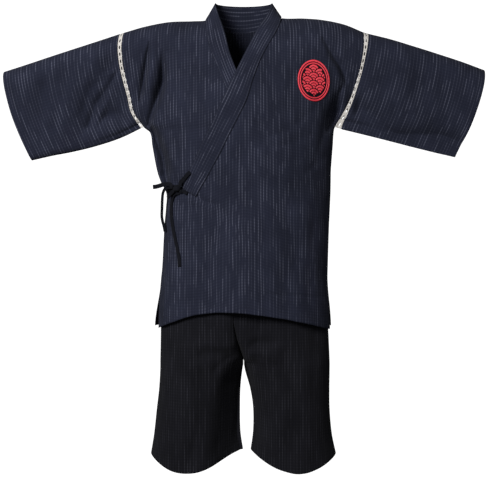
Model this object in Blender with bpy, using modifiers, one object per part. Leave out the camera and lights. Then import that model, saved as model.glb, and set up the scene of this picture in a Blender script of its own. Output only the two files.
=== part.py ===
"""Jinbei set: a short wrap jacket with lace round the armholes, and knee shorts, worn with the arms out.

Metres, +Z up, with the sizes below in millimetres. The front faces -Y and the wearer's left is +X. The origin
is the middle of the neck, level with the inner ends of the shoulder lines. Every cloth piece is an open grid,
laid on the garment's form by a function and thickened outwards to a wall.
"""

import math
from collections import namedtuple

import bmesh
import bpy
from mathutils import Matrix, Vector

MM = 0.001
FRONT, BACK = -1, 1  # the side of the wearer, as the sign of y
RIGHT, LEFT = -1, 1  # the wearer's own right and left, as the sign of x

# Cloth and layers
WALL = 1.2  # cotton with its seam allowance
SEAM = 0.3  # between two sewn pieces
PLY = 0.8  # between two pieces that lie on each other
BAND_WALL = 1.8  # the collar is folded cloth
BAND_LIFT = WALL + PLY  # the collar lies on its panel
WRAP_LIFT = BAND_LIFT + BAND_WALL + 0.8  # the over front lies on the under front and its collar
WRAP_START, WRAP_FADE = 4, 60  # past the under collar, the over front comes down to the body over this width
UNDER_STRIP = 14  # below its collar, the under front's edge stands off the over front this far in

# Shoulders, armholes and arms
ROLL = 60  # height over which cloth rounds over the shoulder
SHOULDER_Z = -25  # the shoulder line's outer end
ARMPIT_Z = -233
ARM_RADIUS = 50  # cloth over the arm, from the arm's middle
UNDERARM, UNDERARM_POWER = 10, 0.9  # half the thickness at the lower fold, and how it thins to that
ARM_ROUND = 0.25  # share of the sleeve's height that rounds over the arm
FOLD_ROUND = 0.06  # share that rounds at its lower fold
# A section is an ellipse at the waist, and on the chest it falls off towards the arms
WAIST_POWER, CHEST_POWER = 0.5, 1.05
CHEST_LOW, CHEST_HIGH = -20, 110  # the one section turns to the other between these heights over the armpit
LACE_WIDTHS = {LEFT: (11, 5.2, 12.5), RIGHT: (9, 6.5, 5)}  # at the shoulder, halfway and at the armpit
LACE_WALL = 1.2
LACE_MOTIFS = 14  # openings in each front or back length of lace
EYE_WIDE, EYE_LONG = 2.8, 8.6  # one opening

# Neck and collar
NECK_HALF, NECK_DEEP = 82, 62  # the neck seam from above: half its width, and how far back it goes
STAND_HALF, STAND_DEEP, STAND_Z = 62, 50, 41  # the collar's free edge at the sides and back of the neck
STAND_RISE = 3  # how much higher it stands at the back
NECK_LAP, LAP_LIFT = 5, 0.8  # how far its seam edge lies down over the back panel, and how far off

# Slits and hems
SLIT_Z = -578
SLIT_FLARE = {RIGHT: 9, LEFT: 4}  # how far the back's hem corner stands out past the front's
SLIT_PART = 6  # how far front and back part at the hem, each
HEM_HALF = 188  # half the hem's width
UNDER_SHORTER = 7  # the under front hangs this much higher

# Shorts
WAIST_Z, CASING = -428, 26
CROTCH_Z, RISE_Z = -744, -600  # the crotch point, and where the front starts to curve under to it
WAIST_GATHERS, GATHER, GATHER_CALM = 16, 1.6, 0.6  # the gathers calm down towards the seam
CASING_IN = 1  # the casing is drawn in this far
GUSSET = 10  # the legs part fully over this height below the crotch
CROTCH_TURN = 0.4  # how early the walls beside the rise seam start to turn towards each other
TRUNK_LOW, LEGS_LOW = -655, -765  # the trunk's section turns to the legs' sections between these heights
FOLD_FADE = 60  # the legs' folds fade in over this height, above and below where the rise curves under

Level = namedtuple("Level", "z right left front back")  # edges and depths, each as a distance from the middle
BODY = [
    Level(0, 261, 261, 50, 60),
    Level(-25, 261, 261, 60, 70),
    Level(-60, 264, 259.5, 73, 84),
    Level(-95, 262, 254.5, 84, 94),
    Level(-130, 255.5, 246.5, 92, 100),
    Level(-165, 247, 234, 98, 102),
    Level(-200, 239, 218, 102, 102),
    Level(-231, 219, 200, 104, 101),
    Level(-243, 205, 197, 104, 100),
    Level(-272, 200, 195, 104, 98),
    Level(-325, 190, 191, 101, 93),
    Level(-350, 182, 190.5, 99, 90),
    Level(-377, 169, 190, 97, 88),
    Level(-410, 170, 188.5, 97, 88),
    Level(-451, 173.5, 186.5, 100, 92),
    Level(-537, 178, 183.5, 104, 100),
    Level(-568, 181, 183, 105, 103),
    Level(-618, 184.6, 186.5, 107, 106),
    Level(-672, 186, 188, 109, 108),
]
Ridge = namedtuple("Ridge", "x z")  # the shoulder line; its middle is cut away by the neck
SHOULDERS = [
    Ridge(-261, -25),
    Ridge(-216, -12),
    Ridge(-163, -2),
    Ridge(-110, 0),
    Ridge(-82, 2),
    Ridge(-40, 18),
    Ridge(0, 30),
    Ridge(40, 22),
    Ridge(82, 7),
    Ridge(130, 6),
    Ridge(170, 3),
    Ridge(219, -7),
    Ridge(261, -24),
]
Hem = namedtuple("Hem", "x front back")
JACKET_HEM = [
    Hem(-188, -673, -668),
    Hem(-150, -656, -666),
    Hem(-98, -638, -664),
    Hem(-21, -633, -662),
    Hem(53, -642, -663),
    Hem(120, -655, -665),
    Hem(188, -674, -668),
]
# A front panel's inner edge, which lies under its collar and then hangs free
Edge = namedtuple("Edge", "z x")
OVER_EDGE = [
    Edge(5, 84),
    Edge(-14, 77),
    Edge(-38, 64),
    Edge(-65, 45),
    Edge(-100, 25),
    Edge(-144, 3),
    Edge(-192, -20),
    Edge(-255, -55),
    Edge(-308, -85),
    Edge(-350, -112),
    Edge(-366, -124),
    Edge(-392, -146),
    Edge(-440, -156),
    Edge(-540, -165),
    Edge(-660, -172),
]
UNDER_EDGE = [
    Edge(0, -81.5),
    Edge(-30, -78),
    Edge(-63, -71),
    Edge(-98, -55),
    Edge(-133, -40),
    Edge(-164, -26),
    Edge(-213, -1),
    Edge(-262, 24),
    Edge(-308, 53),
    Edge(-348, 82),
    Edge(-366, 97),
    Edge(-400, 110),
    Edge(-460, 116),
    Edge(-640, 120),
]
# The collar on the chest, from its end up to the neck
Band = namedtuple("Band", "seam_x seam_z free_x free_z")
OVER_BAND = [
    Band(-101, -390, -126, -365),
    Band(-78, -350, -112, -330),
    Band(-54, -308, -93, -287),
    Band(-27.5, -255, -69, -236),
    Band(3.5, -192, -38, -170),
    Band(19, -144, -18, -127),
    Band(35, -99, 1, -88),
    Band(52, -65, 17, -52),
    Band(67.5, -38, 30, -26),
    Band(78, -14, 45, -2),
]
UNDER_BAND = [
    Band(76, -386, 110, -366),
    Band(56, -348, 94, -332),
    Band(34, -308, 73, -292),
    Band(10, -262, 50, -249),
    Band(-14, -213, 26, -200),
    Band(-35.5, -164, 0, -152),
    Band(-48, -133, -16, -118),
    Band(-62, -98, -30, -80),
    Band(-75, -63, -38, -46),
    Band(-80, -30, -48, -10),
]
# The collar where it rises from the chest to the side of the neck
Rise = namedtuple("Rise", "seam_x seam_away free_x free_y free_z")
RISE_LEFT = [Rise(80.5, 30, 51, -34, 10), Rise(81.5, 19, 57, -24, 24), Rise(82, 9, 61, -11, 35)]
RISE_RIGHT = [Rise(-81.5, 37, -52, -39, 1), Rise(-82, 24, -56, -28, 15), Rise(-82, 11, -60.5, -13, 31)]
# The sleeve's upper and lower fold, from the armhole to the cuff
Station = namedtuple("Station", "top_x top_z low_x low_z")
SLEEVES = {
    RIGHT: [
        Station(275, -30, 226, -235),
        Station(322, -45, 272, -256),
        Station(375, -62, 325, -273),
        Station(427, -79, 375, -285),
        Station(478, -96, 422, -294),
        Station(524, -111, 466, -304),
    ],
    LEFT: [
        Station(275, -25, 216, -231),
        Station(322, -38, 268, -246),
        Station(375, -55, 322, -261),
        Station(427, -72, 373, -275),
        Station(478, -89, 421, -287),
        Station(526, -107, 465, -297),
    ],
}
END_CLEAR, END_TOP, END_LOW = 0.8, -330, -390  # the collar's end stands off more, where the waist is drawn in
RISE_CLEAR = 0.4  # the collar stands this much further off where it turns from the chest to the neck
SLEEVE_BOW, CUFF_BOW = 12, 0.85  # how far the armhole bows out between its ends, and the cuff's share of it
SLEEVE_EVEN = 0.35  # how far the points round the sleeve move from even turns to even heights
# The line inside the sleeve that its wall faces away from, and the same point for the lace
ARM_X, ARM_LONG, ARM_Z, ARM_END_Z = 275, 250, -75, -165
LACE_X, LACE_Z = 250, -120
# Above the crotch, the inner edge is the rise seam
Leg = namedtuple("Leg", "z right_in right_out left_in left_out front back")
LEGS = [
    Leg(-454, -4, 150, -4, 150, 80, 74),
    Leg(-490, -7, 164, -7, 166, 85, 80),
    Leg(-540, -11, 174, -11, 178, 88, 87),
    Leg(-590, -16, 180.7, -16, 182.3, 91, 92),
    Leg(-620, -19, 181.6, -19, 184, 93, 94),
    Leg(-655, -21, 181.2, -21, 184.3, 94, 95),
    Leg(-695, -14, 181.4, -14, 186, 93, 95),
    Leg(-744, 0, 182.2, 0, 188, 91, 93),
    Leg(-766, 4, 182.5, 4, 188, 90, 92),
    Leg(-806, 8, 185, 15, 187.5, 90, 91),
    Leg(-850, 9, 190, 21.5, 188, 89, 90),
    Leg(-905, 8, 196, 21.5, 193, 88, 89),
    Leg(-948, 2, 203, 16, 202, 87, 88),
]
LEG_HEM_IN, LEG_HEM_OUT = -939, -946
LEG_HEM_DIP = {FRONT: 34, BACK: 8}
LEG_HEM_SKEW = {LEFT: 1.05, RIGHT: 1.35}  # how far the lowest place lies to the outer side of the leg

# Largest folds: a soft trough between two points of the front or back view
Fold = namedtuple("Fold", "face x0 z0 x1 z1 width depth")
JACKET_FOLDS = [
    Fold(FRONT, -203, -48, -234, -150, 13, 5),
    Fold(FRONT, -178, -62, -180, -128, 15, 6),
    Fold(FRONT, -181, -132, -205, -215, 15, 6),
    Fold(FRONT, 206, -88, 234, -145, 14, 5),
    Fold(FRONT, 196, -190, 178, -262, 15, 4),
    Fold(FRONT, -150, -285, -138, -348, 13, 4),
    Fold(FRONT, -108, -398, -20, -452, 14, 4),
    Fold(FRONT, -60, -470, -66, -610, 22, 5),
    Fold(FRONT, 88, -440, 96, -630, 24, 5),
    Fold(BACK, -165, -60, -150, -250, 20, 6),
    Fold(BACK, 165, -60, 148, -260, 20, 6),
    Fold(BACK, -60, -330, 20, -380, 18, 4),
    Fold(BACK, -80, -430, -86, -640, 24, 4),
    Fold(BACK, 82, -420, 90, -640, 24, 4),
    Fold(FRONT, -300, -110, -343, -190, 17, 6),
    Fold(FRONT, -345, -192, -350, -262, 17, 5),
    Fold(FRONT, 262, -185, 300, -232, 15, 5),
    Fold(FRONT, 380, -120, 420, -240, 18, 4),
    Fold(BACK, -310, -110, -360, -230, 18, 6),
    Fold(BACK, 310, -110, 350, -230, 18, 6),
]
SHORTS_FOLDS = [
    Fold(FRONT, -18, -712, -84, -728, 12, 6),
    Fold(FRONT, 6, -716, 48, -700, 11, 6),
    Fold(FRONT, -88, -760, -112, -930, 20, 7),
    Fold(FRONT, 100, -740, 96, -930, 20, 7),
    Fold(FRONT, -40, -800, -60, -900, 15, 4),
    Fold(BACK, -95, -690, -105, -930, 22, 7),
    Fold(BACK, 95, -690, 105, -930, 22, 7),
]

# Ties at the wearer's right waist: each strap leaves the knot and runs over its stops
KNOT_X, KNOT_Z = -136.5, -365
KNOT_WIDE, KNOT_THICK, KNOT_TALL = 18, 13, 15
SMOOTHED_CUBE = 0.86  # how much of its width a cube keeps when it is smoothed round
KNOT_CLEAR, KNOT_STUB = 0.7, 3  # from the knot to a strap's end, and how far the strap then runs straight out
STRAP_WALL = 1.6
AWAY = Vector((-0.31, -0.95, 0))  # straight off the cloth beside the knot
# The turn is in degrees round the knot, and the level is off its middle
Strap = namedtuple("Strap", "name width turn level on stops")
Stop = namedtuple("Stop", "x z out")  # a place over the cloth, and how far off it
Bend = namedtuple("Bend", "x y z")  # a place in the air
STRAPS = [
    Strap("tie_strap_front", 8, 42, -2, "over", [
        Stop(-130, -354, 3),
        Stop(-123, -347, 3.9),
        Stop(-116, -340, 4),
        Stop(-110, -334.5, 3.5),
    ]),
    Strap("tie_strap_side", 7, 176, -5.6, "under", [
        Stop(-154, -368, 3.6),
        Stop(-159, -370, 2.4),
        Stop(-163.5, -371.5, 1.4),
    ]),
    Strap("tie_end_short", 7, -38, 0.6, "over", [
        Stop(-125.5, -374.5, 4),
        Stop(-121, -378, 3.2),
        Stop(-116.5, -381.5, 2.9),
    ]),
    Strap("tie_end_long", 8, -86, -2.8, "over", [
        Stop(-143, -380, 4),
        Stop(-148, -392, 2.2),
        Stop(-150.5, -407, 1.4),
        Stop(-151, -426, 1.1),
        Stop(-149, -446, 1),
        Stop(-145.5, -464, 1),
        Stop(-141, -482, 0.9),
        Stop(-137, -500, 0.8),
        Stop(-134, -518, 0.7),
        Stop(-133, -537, 0.5),
    ]),
    Strap("tie_end_side", 9, 156, 2, "air", [
        Bend(-157, -58, -361), Bend(-165, -52.5, -359.5), Bend(-174, -47.5, -360.5),
        Bend(-183, -43.5, -363), Bend(-190, -41.5, -364.5), Bend(-196, -40, -365),
    ]),
    Strap("tie_end_thin", 6, 180, -3.2, "air", [
        Bend(-157.5, -53, -366.5), Bend(-165, -47, -367), Bend(-171, -41.5, -370.5),
        Bend(-175, -36, -380), Bend(-176.5, -33.5, -395), Bend(-177, -32, -411), Bend(-177.5, -31, -427),
        Bend(-176, -31, -438), Bend(-173, -32, -449), Bend(-170.5, -33, -461),
    ]),
]
LOOP_WIDTH, LOOP_LONG, LOOP_OPEN, LOOP_DROOP = 7, 22, 2.6, 3
LOOP_TURN, LOOP_LEVEL, LOOP_STEPS = 213, 2.6, 9

# Roundel on the wearer's left chest
ROUNDEL_X, ROUNDEL_Z, ROUNDEL_RADIUS = 149.5, -138.5, 45
ROUNDEL_TURN = 0.78  # its width across the front over its width along the cloth, which turns away there
ROUNDEL_WALL, ROUNDEL_LIFT = 1.0, 0.6  # its cloth, and how far it lies off the panel
ROUNDEL_COLUMNS, ROUNDEL_RINGS = 24, 4

Finish = namedtuple("Finish", "colour roughness")
NAVY = Finish((0.017, 0.020, 0.037, 1), 0.9)
DARK = Finish((0.008, 0.009, 0.014, 1), 0.9)
CREAM = Finish((0.72, 0.66, 0.58, 1), 0.85)
RED = Finish((0.50, 0.03, 0.04, 1), 0.6)


# ---- Form ----------------------------------------------------------------------------------------


def clamp(value, low=0.0, high=1.0):
    return min(max(value, low), high)


def blend(a, b, share):
    return a + (b - a) * share


def ease(low, high, value):
    """0 at low, 1 at high, and a smooth rise or fall between them."""
    t = clamp((value - low) / (high - low))
    return t * t * (3 - 2 * t)


def rounding(t, over):
    """A quarter circle that rises from 0 to 1 while t goes from 0 to over, and then stays 1."""
    return math.sqrt(1 - (1 - clamp(t / over)) ** 2)


class Line:
    """A smooth line through pairs of (at, value), level past both ends."""

    def __init__(self, pairs):
        self.pairs = sorted(pairs)
        ends = [self.pairs[0], *self.pairs, self.pairs[-1]]
        self.slopes = [(b[1] - a[1]) / (b[0] - a[0]) for a, b in zip(ends, ends[2:])]

    def __call__(self, at):
        pairs = self.pairs
        if at <= pairs[0][0] or at >= pairs[-1][0]:
            return pairs[0][1] if at <= pairs[0][0] else pairs[-1][1]
        i = next(k for k, pair in enumerate(pairs) if pair[0] > at) - 1
        (a, low), (b, high) = pairs[i], pairs[i + 1]
        t, reach = (at - a) / (b - a), b - a
        rest = 1 - t
        return (
            low * rest * rest * (1 + 2 * t)
            + high * t * t * (3 - 2 * t)
            + reach * t * rest * (self.slopes[i] * rest - self.slopes[i + 1] * t)
        )


def column(table, at, value):
    """The smooth line of one column of a table against another."""
    return Line((getattr(row, at), getattr(row, value)) for row in table)


def by_row(table, value):
    """The smooth line of one column of a table against the row's number."""
    return Line((i, getattr(row, value)) for i, row in enumerate(table))


right_edge, left_edge = column(BODY, "z", "right"), column(BODY, "z", "left")
body_depth = {FRONT: column(BODY, "z", "front"), BACK: column(BODY, "z", "back")}
ridge = column(SHOULDERS, "x", "z")
hem = {FRONT: column(JACKET_HEM, "x", "front"), BACK: column(JACKET_HEM, "x", "back")}
over_edge, under_edge = column(OVER_EDGE, "z", "x"), column(UNDER_EDGE, "z", "x")
under_free = column(UNDER_BAND, "free_z", "free_x")


def trough(folds, face, x, z):
    """How far the folds take the cloth in at a place."""
    total = 0.0
    for fold in folds:
        if fold.face == face:
            along_x, along_z = fold.x1 - fold.x0, fold.z1 - fold.z0
            long = math.hypot(along_x, along_z)
            t = ((x - fold.x0) * along_x + (z - fold.z0) * along_z) / long**2
            off = abs((x - fold.x0) * along_z - (z - fold.z0) * along_x) / long
            past = max(-t, t - 1, 0) * long
            total += fold.depth * math.exp(-((off / fold.width) ** 2) - (past / (2 * fold.width)) ** 2)
    return total


def sleeve_half(share):
    """Half the sleeve's thickness at a share of the way from its upper fold to its lower one."""
    width = blend(ARM_RADIUS, UNDERARM, clamp(share) ** UNDERARM_POWER)
    return width * rounding(share, ARM_ROUND) * rounding(1 - share, FOLD_ROUND)


def body_across(z):
    """The middle of the body's section at a height, and half its width."""
    return (left_edge(z) - right_edge(z)) / 2, (left_edge(z) + right_edge(z)) / 2


def depth(x, z, face):
    """How far the jacket's cloth is in front of the middle plane, or behind it."""
    middle, half = body_across(z)
    across = clamp(abs(x - middle) / half)
    below = max(ridge(x) - z, 0)
    chest = ease(ARMPIT_Z + CHEST_LOW, ARMPIT_Z + CHEST_HIGH, z)
    share = (1 - across**2) ** blend(WAIST_POWER, CHEST_POWER, chest)
    full = body_depth[face](z) * rounding(below, ROLL)
    sleeve = sleeve_half(below / (SHOULDER_Z - ARMPIT_Z))
    calm = rounding(below, ROLL) * min(1, 4 * share + 0.25 * ease(ARMPIT_Z, ARMPIT_Z + 60, z))
    return max(share * full + (1 - share) * sleeve - calm * trough(JACKET_FOLDS, face, x, z), 0)


def body_point(x, z, face, lift=0.0):
    """A place on the jacket's form, lifted off it along its normal."""
    here = depth(x, z, face)
    point = Vector((x, face * (here + SEAM / 2), z))
    if lift:
        step = 1.0
        slope_x = (depth(x + step, z, face) - depth(x - step, z, face)) / (2 * step)
        slope_z = (depth(x, z + step, face) - depth(x, z - step, face)) / (2 * step)
        point += Vector((-slope_x, face, -slope_z)).normalized() * lift
    return point


def wrap_lift(x, z):
    """How far the over front stands off the body, to clear the under front and its collar."""
    edge = under_free(z) if z > UNDER_BAND[0].free_z else under_edge(z) + UNDER_STRIP
    return WRAP_LIFT * (1 - ease(0, WRAP_FADE, x - edge - WRAP_START))


def over_point(x, z, out=0.0):
    """A place on the over front's inner face, moved out."""
    return body_point(x, z, FRONT, wrap_lift(x, z) + out)


# ---- Building cloth ------------------------------------------------------------------------------


def finish_material(name, finish):
    material = bpy.data.materials.new(name)
    material.use_nodes = True
    shader = material.node_tree.nodes["Principled BSDF"]
    shader.inputs["Base Color"].default_value = finish.colour
    shader.inputs["Roughness"].default_value = finish.roughness
    shader.inputs["Metallic"].default_value = 0.0
    return material


def add_piece(name, bm, finish, wall, inside):
    """Turns a flat mesh into a named cloth piece, thickened away from the points that inside() gives."""
    bm.normal_update()
    middles = [(face.normal, face.calc_center_median()) for face in bm.faces]
    if sum(normal.dot(middle - inside(middle)) for normal, middle in middles) < 0:
        bmesh.ops.reverse_faces(bm, faces=bm.faces)
    mesh = bpy.data.meshes.new(name)
    bm.to_mesh(mesh)
    bm.free()
    piece = bpy.data.objects.new(name, mesh)
    mesh.materials.append(finish_material(name, finish))
    thicken = piece.modifiers.new("Wall", "SOLIDIFY")
    thicken.thickness = wall * MM
    thicken.offset = 1
    bpy.data.collections[COLLECTION].objects.link(piece)
    return piece


def body_axis(point):
    return Vector((0, 0, point.z))


def cloth(name, columns, rows, place, finish, wall=WALL, inside=body_axis, closed=False):
    """A cloth piece from a grid, with each corner moved to place(share across, share down)."""
    bm = bmesh.new()
    bmesh.ops.create_grid(bm, x_segments=columns, y_segments=rows, size=0.5)
    for vert in bm.verts:
        vert.co = place(clamp(vert.co.x + 0.5), clamp(vert.co.y + 0.5)) * MM
    if closed:
        bmesh.ops.remove_doubles(bm, verts=bm.verts, dist=0.00002)
    return add_piece(name, bm, finish, wall, inside)


# ---- Jacket body ---------------------------------------------------------------------------------

Zone = namedtuple("Zone", "rows to_z")  # grid rows of the jacket body, from the shoulder line down
ZONES = [Zone(5, SHOULDER_Z - ROLL), Zone(6, -231), Zone(1, -243), Zone(5, -377), Zone(10, -672)]
BODY_ROWS = sum(zone.rows for zone in ZONES)


def row_share(share):
    """The share of the panel's height that a row has come down, with close rows over the shoulder."""
    row = share * BODY_ROWS
    start = SHOULDER_Z
    for i, zone in enumerate(ZONES):
        if row <= zone.rows or i == len(ZONES) - 1:
            t = row / zone.rows
            if i == 0:
                t = 1 - math.cos(t * math.pi / 2)
            return (SHOULDER_Z - blend(start, zone.to_z, t)) / (SHOULDER_Z - ZONES[-1].to_z)
        row, start = row - zone.rows, zone.to_z


def front_place(edge_x, top_z, outer, shorter, lift):
    """The placing function of a front panel, between its inner edge and its armhole and side seam."""

    inner_low = hem[FRONT](edge_x(ZONES[-1].to_z)) + shorter
    outer_low = hem[FRONT](outer * HEM_HALF)

    def place(across, down):
        share = row_share(down)
        inner_z = blend(top_z, inner_low, share)
        outer_z = blend(SHOULDER_Z, outer_low, share)
        z = blend(inner_z, outer_z, across)
        middle, half = body_across(inner_z)
        start = math.asin(clamp((edge_x(inner_z) - middle) / half, -1, 1))
        turn = math.sin(blend(start, outer * math.pi / 2, across))
        for _ in range(3):  # the width depends on the height, which the shoulder and hem lines correct
            middle, half = body_across(z)
            x = middle + half * turn
            line = blend(inner_z, outer_z, across)
            top = (ridge(x) - blend(top_z, SHOULDER_Z, across)) * (1 - share) ** 6
            low_line = blend(inner_low, outer_low, across)
            low = (hem[FRONT](x) + shorter * (1 - across) - low_line) * share**6
            z = line + top + low
        point = body_point(x, z, FRONT, lift(x, z))
        point.y -= SLIT_PART * ease(SLIT_Z, ZONES[-1].to_z, z) * across**8
        return point

    return place


def no_lift(x, z):
    return 0.0


def back_place(across, down):
    """The placing function of the back panel, with the neck cut out of its upper edge."""
    step = across * BACK_COLUMNS
    neck_turn = math.asin(NECK_HALF / BODY[0].left)
    if step < SIDE_COLUMNS:
        turn = blend(-math.pi / 2, -neck_turn, step / SIDE_COLUMNS)
    elif step > BACK_COLUMNS - SIDE_COLUMNS:
        turn = blend(math.pi / 2, neck_turn, (BACK_COLUMNS - step) / SIDE_COLUMNS)
    else:
        round_neck = blend(-math.pi / 2, math.pi / 2, (step - SIDE_COLUMNS) / NECK_COLUMNS)
        turn = math.asin(NECK_HALF * math.sin(round_neck) / BODY[0].left)
    top_x = BODY[0].left * math.sin(turn)
    top_z = neck_seam_z(top_x) if abs(top_x) < NECK_HALF - 0.01 else ridge(top_x)
    z = blend(top_z, hem[BACK](top_x * HEM_HALF / BODY[0].left), row_share(down))
    middle, half = body_across(z)
    flare = ease(SLIT_Z, ZONES[-1].to_z, z) * abs(math.sin(turn)) ** 8
    side = LEFT if turn > 0 else RIGHT
    x = middle + half * math.sin(turn)
    point = body_point(x, z, BACK)
    return point + Vector((side * SLIT_FLARE[side], SLIT_PART, 0)) * flare


def neck_plan_y(x):
    return NECK_DEEP * math.sqrt(max(1 - (x / NECK_HALF) ** 2, 0))


def form_height(x, away, face):
    """The height at which the jacket's form is that far in front of the middle plane, or behind it."""
    low, high = ridge(x) - 100, ridge(x)
    for _ in range(30):
        z = (low + high) / 2
        if depth(x, z, face) > away:
            low = z
        else:
            high = z
    return low


def neck_seam_z(x):
    return form_height(x, neck_plan_y(x), BACK)


SIDE_COLUMNS, NECK_COLUMNS = 8, 8
BACK_COLUMNS = 2 * SIDE_COLUMNS + NECK_COLUMNS
UNDER_COLUMNS, OVER_COLUMNS = 14, 15


def build_body():
    cloth("jacket_back", BACK_COLUMNS, BODY_ROWS, back_place, NAVY)
    under = front_place(under_edge, ridge(-NECK_HALF), RIGHT, UNDER_SHORTER, no_lift)
    cloth("jacket_front_right", UNDER_COLUMNS, BODY_ROWS, under, NAVY)
    over = front_place(over_edge, ridge(NECK_HALF), LEFT, 0, wrap_lift)
    cloth("jacket_front_left", OVER_COLUMNS, BODY_ROWS, over, NAVY)


# ---- Collar --------------------------------------------------------------------------------------


def chest_rows(table, point_on):
    """Rows of the collar on one front, from its end up to the neck, each a function of the share across."""
    lines = [by_row(table, name) for name in Band._fields]
    count = 2 * (len(table) - 1)
    rows = []
    for i in range(count + 1):
        seam_x, seam_z, free_x, free_z = (line(i / 2) for line in lines)
        rows.append(
            lambda t, a=seam_x, b=seam_z, c=free_x, d=free_z: point_on(blend(a, c, t), blend(b, d, t))
        )
    return rows


def neck_rows():
    """Rows of the standing collar, from the wearer's left side of the neck round the back to the right."""
    rows = []
    for i in range(NECK_COLUMNS + 1):
        turn = blend(math.pi / 2, -math.pi / 2, i / NECK_COLUMNS)
        x = NECK_HALF * math.sin(turn)
        back = math.cos(turn)
        seam = body_point(x, neck_seam_z(x) - NECK_LAP * back, BACK, BAND_LIFT + LAP_LIFT * back)
        if i in (0, NECK_COLUMNS):
            seam = Vector((x, 0, ridge(x) + BAND_LIFT))
        free = Vector((STAND_HALF * math.sin(turn), STAND_DEEP * back, STAND_Z + STAND_RISE * back))
        rows.append(lambda t, a=seam, b=free: a.lerp(b, t))
    return rows


def rise_rows(table):
    """Rows of the collar where it leaves the chest and stands up beside the neck."""
    rows = []
    for rise in table:
        height = form_height(rise.seam_x, rise.seam_away, FRONT)
        seam = body_point(rise.seam_x, height, FRONT, BAND_LIFT + RISE_CLEAR)
        free = Vector((rise.free_x, rise.free_y, rise.free_z))
        rows.append(lambda t, a=seam, b=free: a.lerp(b, t))
    return rows


COLLAR_COLUMNS = 3


def build_collar():
    def on_over(x, z):
        return over_point(x, z, BAND_LIFT + END_CLEAR * ease(END_TOP, END_LOW, z))

    def place(across, along):
        return rows[round(along * last)](across)

    over = chest_rows(OVER_BAND, on_over)
    under = chest_rows(UNDER_BAND, lambda x, z: body_point(x, z, FRONT, BAND_LIFT))
    right_rise = list(reversed(rise_rows(RISE_RIGHT)))
    rows = [*over, *rise_rows(RISE_LEFT), *neck_rows(), *right_rise, *reversed(under)]
    last = len(rows) - 1
    cloth("collar", COLLAR_COLUMNS, last, place, NAVY, BAND_WALL)


# ---- Sleeves and lace ----------------------------------------------------------------------------


def sleeve_out(side):
    """The way along the sleeve from the body."""
    return Vector((side, 0, -0.3)).normalized()


def armhole_point(side, face, share):
    """A place just outside the wall of the body's armhole edge, at a share of the way down to the armpit."""
    top = ridge(side * BODY[0].left)
    z = blend(top, ARMPIT_Z + 2, share)
    edge = left_edge(z) if side == LEFT else -right_edge(z)
    inner, outer = body_point(edge, z, face), body_point(edge - side * 3, z, face, 1)
    wall_way = outer - body_point(edge - side * 3, z, face)
    past = WALL * max(wall_way.dot(sleeve_out(side)), 0)
    return inner + sleeve_out(side) * (past + SEAM)


def lace_width(side, share):
    """How wide the lace is at a share of the way down, on a smooth curve through its three widths."""
    top, middle, bottom = LACE_WIDTHS[side]
    return blend(top, bottom, share) + 4 * share * (1 - share) * (middle - (top + bottom) / 2)


def lace_edge(side, face, share, out):
    """A place on the lace, with out from 0 at the body's edge to 1 at the sleeve's."""
    return armhole_point(side, face, share) + sleeve_out(side) * (SEAM + lace_width(side, share) * out)


def sleeve_place(side):
    """The placing function of a sleeve, a tube from the lace to the cuff."""
    lines = [by_row(SLEEVES[side], name) for name in Station._fields]
    last = len(SLEEVES[side]) - 1

    def plain(along, share, face):
        top_x, top_z, low_x, low_z = (line(along * last) for line in lines)
        bow = SLEEVE_BOW * blend(1, CUFF_BOW, along) * math.sin(math.pi * share)
        x = side * (blend(top_x, low_x, share) + bow)
        z = blend(top_z, low_z, share)
        calm = rounding(share, ARM_ROUND) * rounding(1 - share, ARM_ROUND)
        half = sleeve_half(share) - calm * trough(JACKET_FOLDS, face, x, z)
        return Vector((x, face * max(half, 0), z))

    def place(around, along):
        face = FRONT if around <= 0.5 else BACK
        turn = around * 2 if face == FRONT else (1 - around) * 2
        share = (1 - math.cos(math.pi * turn)) / 2
        share = blend(share, turn, SLEEVE_EVEN)
        if share < 1e-6 or share > 1 - 1e-6:
            face = FRONT
        start = lace_edge(side, face, share, 1) + sleeve_out(side) * 2 * SEAM
        if share < 1e-6 or share > 1 - 1e-6:
            start.y = 0
        return plain(along, share, face) + (start - plain(0, share, face)) * (1 - along) ** 3

    return place


SLEEVE_COLUMNS, SLEEVE_ROWS = 26, 8


def build_sleeve(side, name):
    def inside(point):
        x = abs(point.x) / MM
        return Vector((point.x, 0, blend(ARM_Z, ARM_END_Z, clamp((x - ARM_X) / ARM_LONG)) * MM))

    cloth(f"sleeve_{name}", SLEEVE_COLUMNS, SLEEVE_ROWS, sleeve_place(side), NAVY, inside=inside, closed=True)


def build_lace(side, face, name):
    """A length of insertion lace: a chain of oval openings, each in its own cell of the strip."""
    bm = bmesh.new()
    cell = 1 / LACE_MOTIFS
    for i in range(LACE_MOTIFS):
        middle = (i + 0.5) * cell
        long = (SHOULDER_Z - ARMPIT_Z) * cell
        rim, eye = [], []
        for k in range(8):
            turn = k * math.pi / 4
            square = max(abs(math.cos(turn)), abs(math.sin(turn)))
            rim.append((0.5 + 0.5 * math.cos(turn) / square, middle + 0.5 * cell * math.sin(turn) / square))
            wide = EYE_WIDE / lace_width(side, middle)
            tall = EYE_LONG / long * cell
            eye.append((0.5 + 0.5 * wide * math.cos(turn), middle + 0.5 * tall * math.sin(turn)))
        outer = [bm.verts.new(lace_edge(side, face, clamp(down), out) * MM) for out, down in rim]
        inner = [bm.verts.new(lace_edge(side, face, clamp(down), out) * MM) for out, down in eye]
        for k in range(8):
            bm.faces.new((outer[k], outer[k - 1], inner[k - 1], inner[k]))
    bmesh.ops.remove_doubles(bm, verts=bm.verts, dist=0.00005)
    middle = Vector((side * LACE_X, 0, LACE_Z)) * MM
    add_piece(name, bm, CREAM, LACE_WALL, lambda point: middle)


# ---- Shorts --------------------------------------------------------------------------------------

leg_line = {name: column(LEGS, "z", name) for name in Leg._fields if name != "z"}


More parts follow.
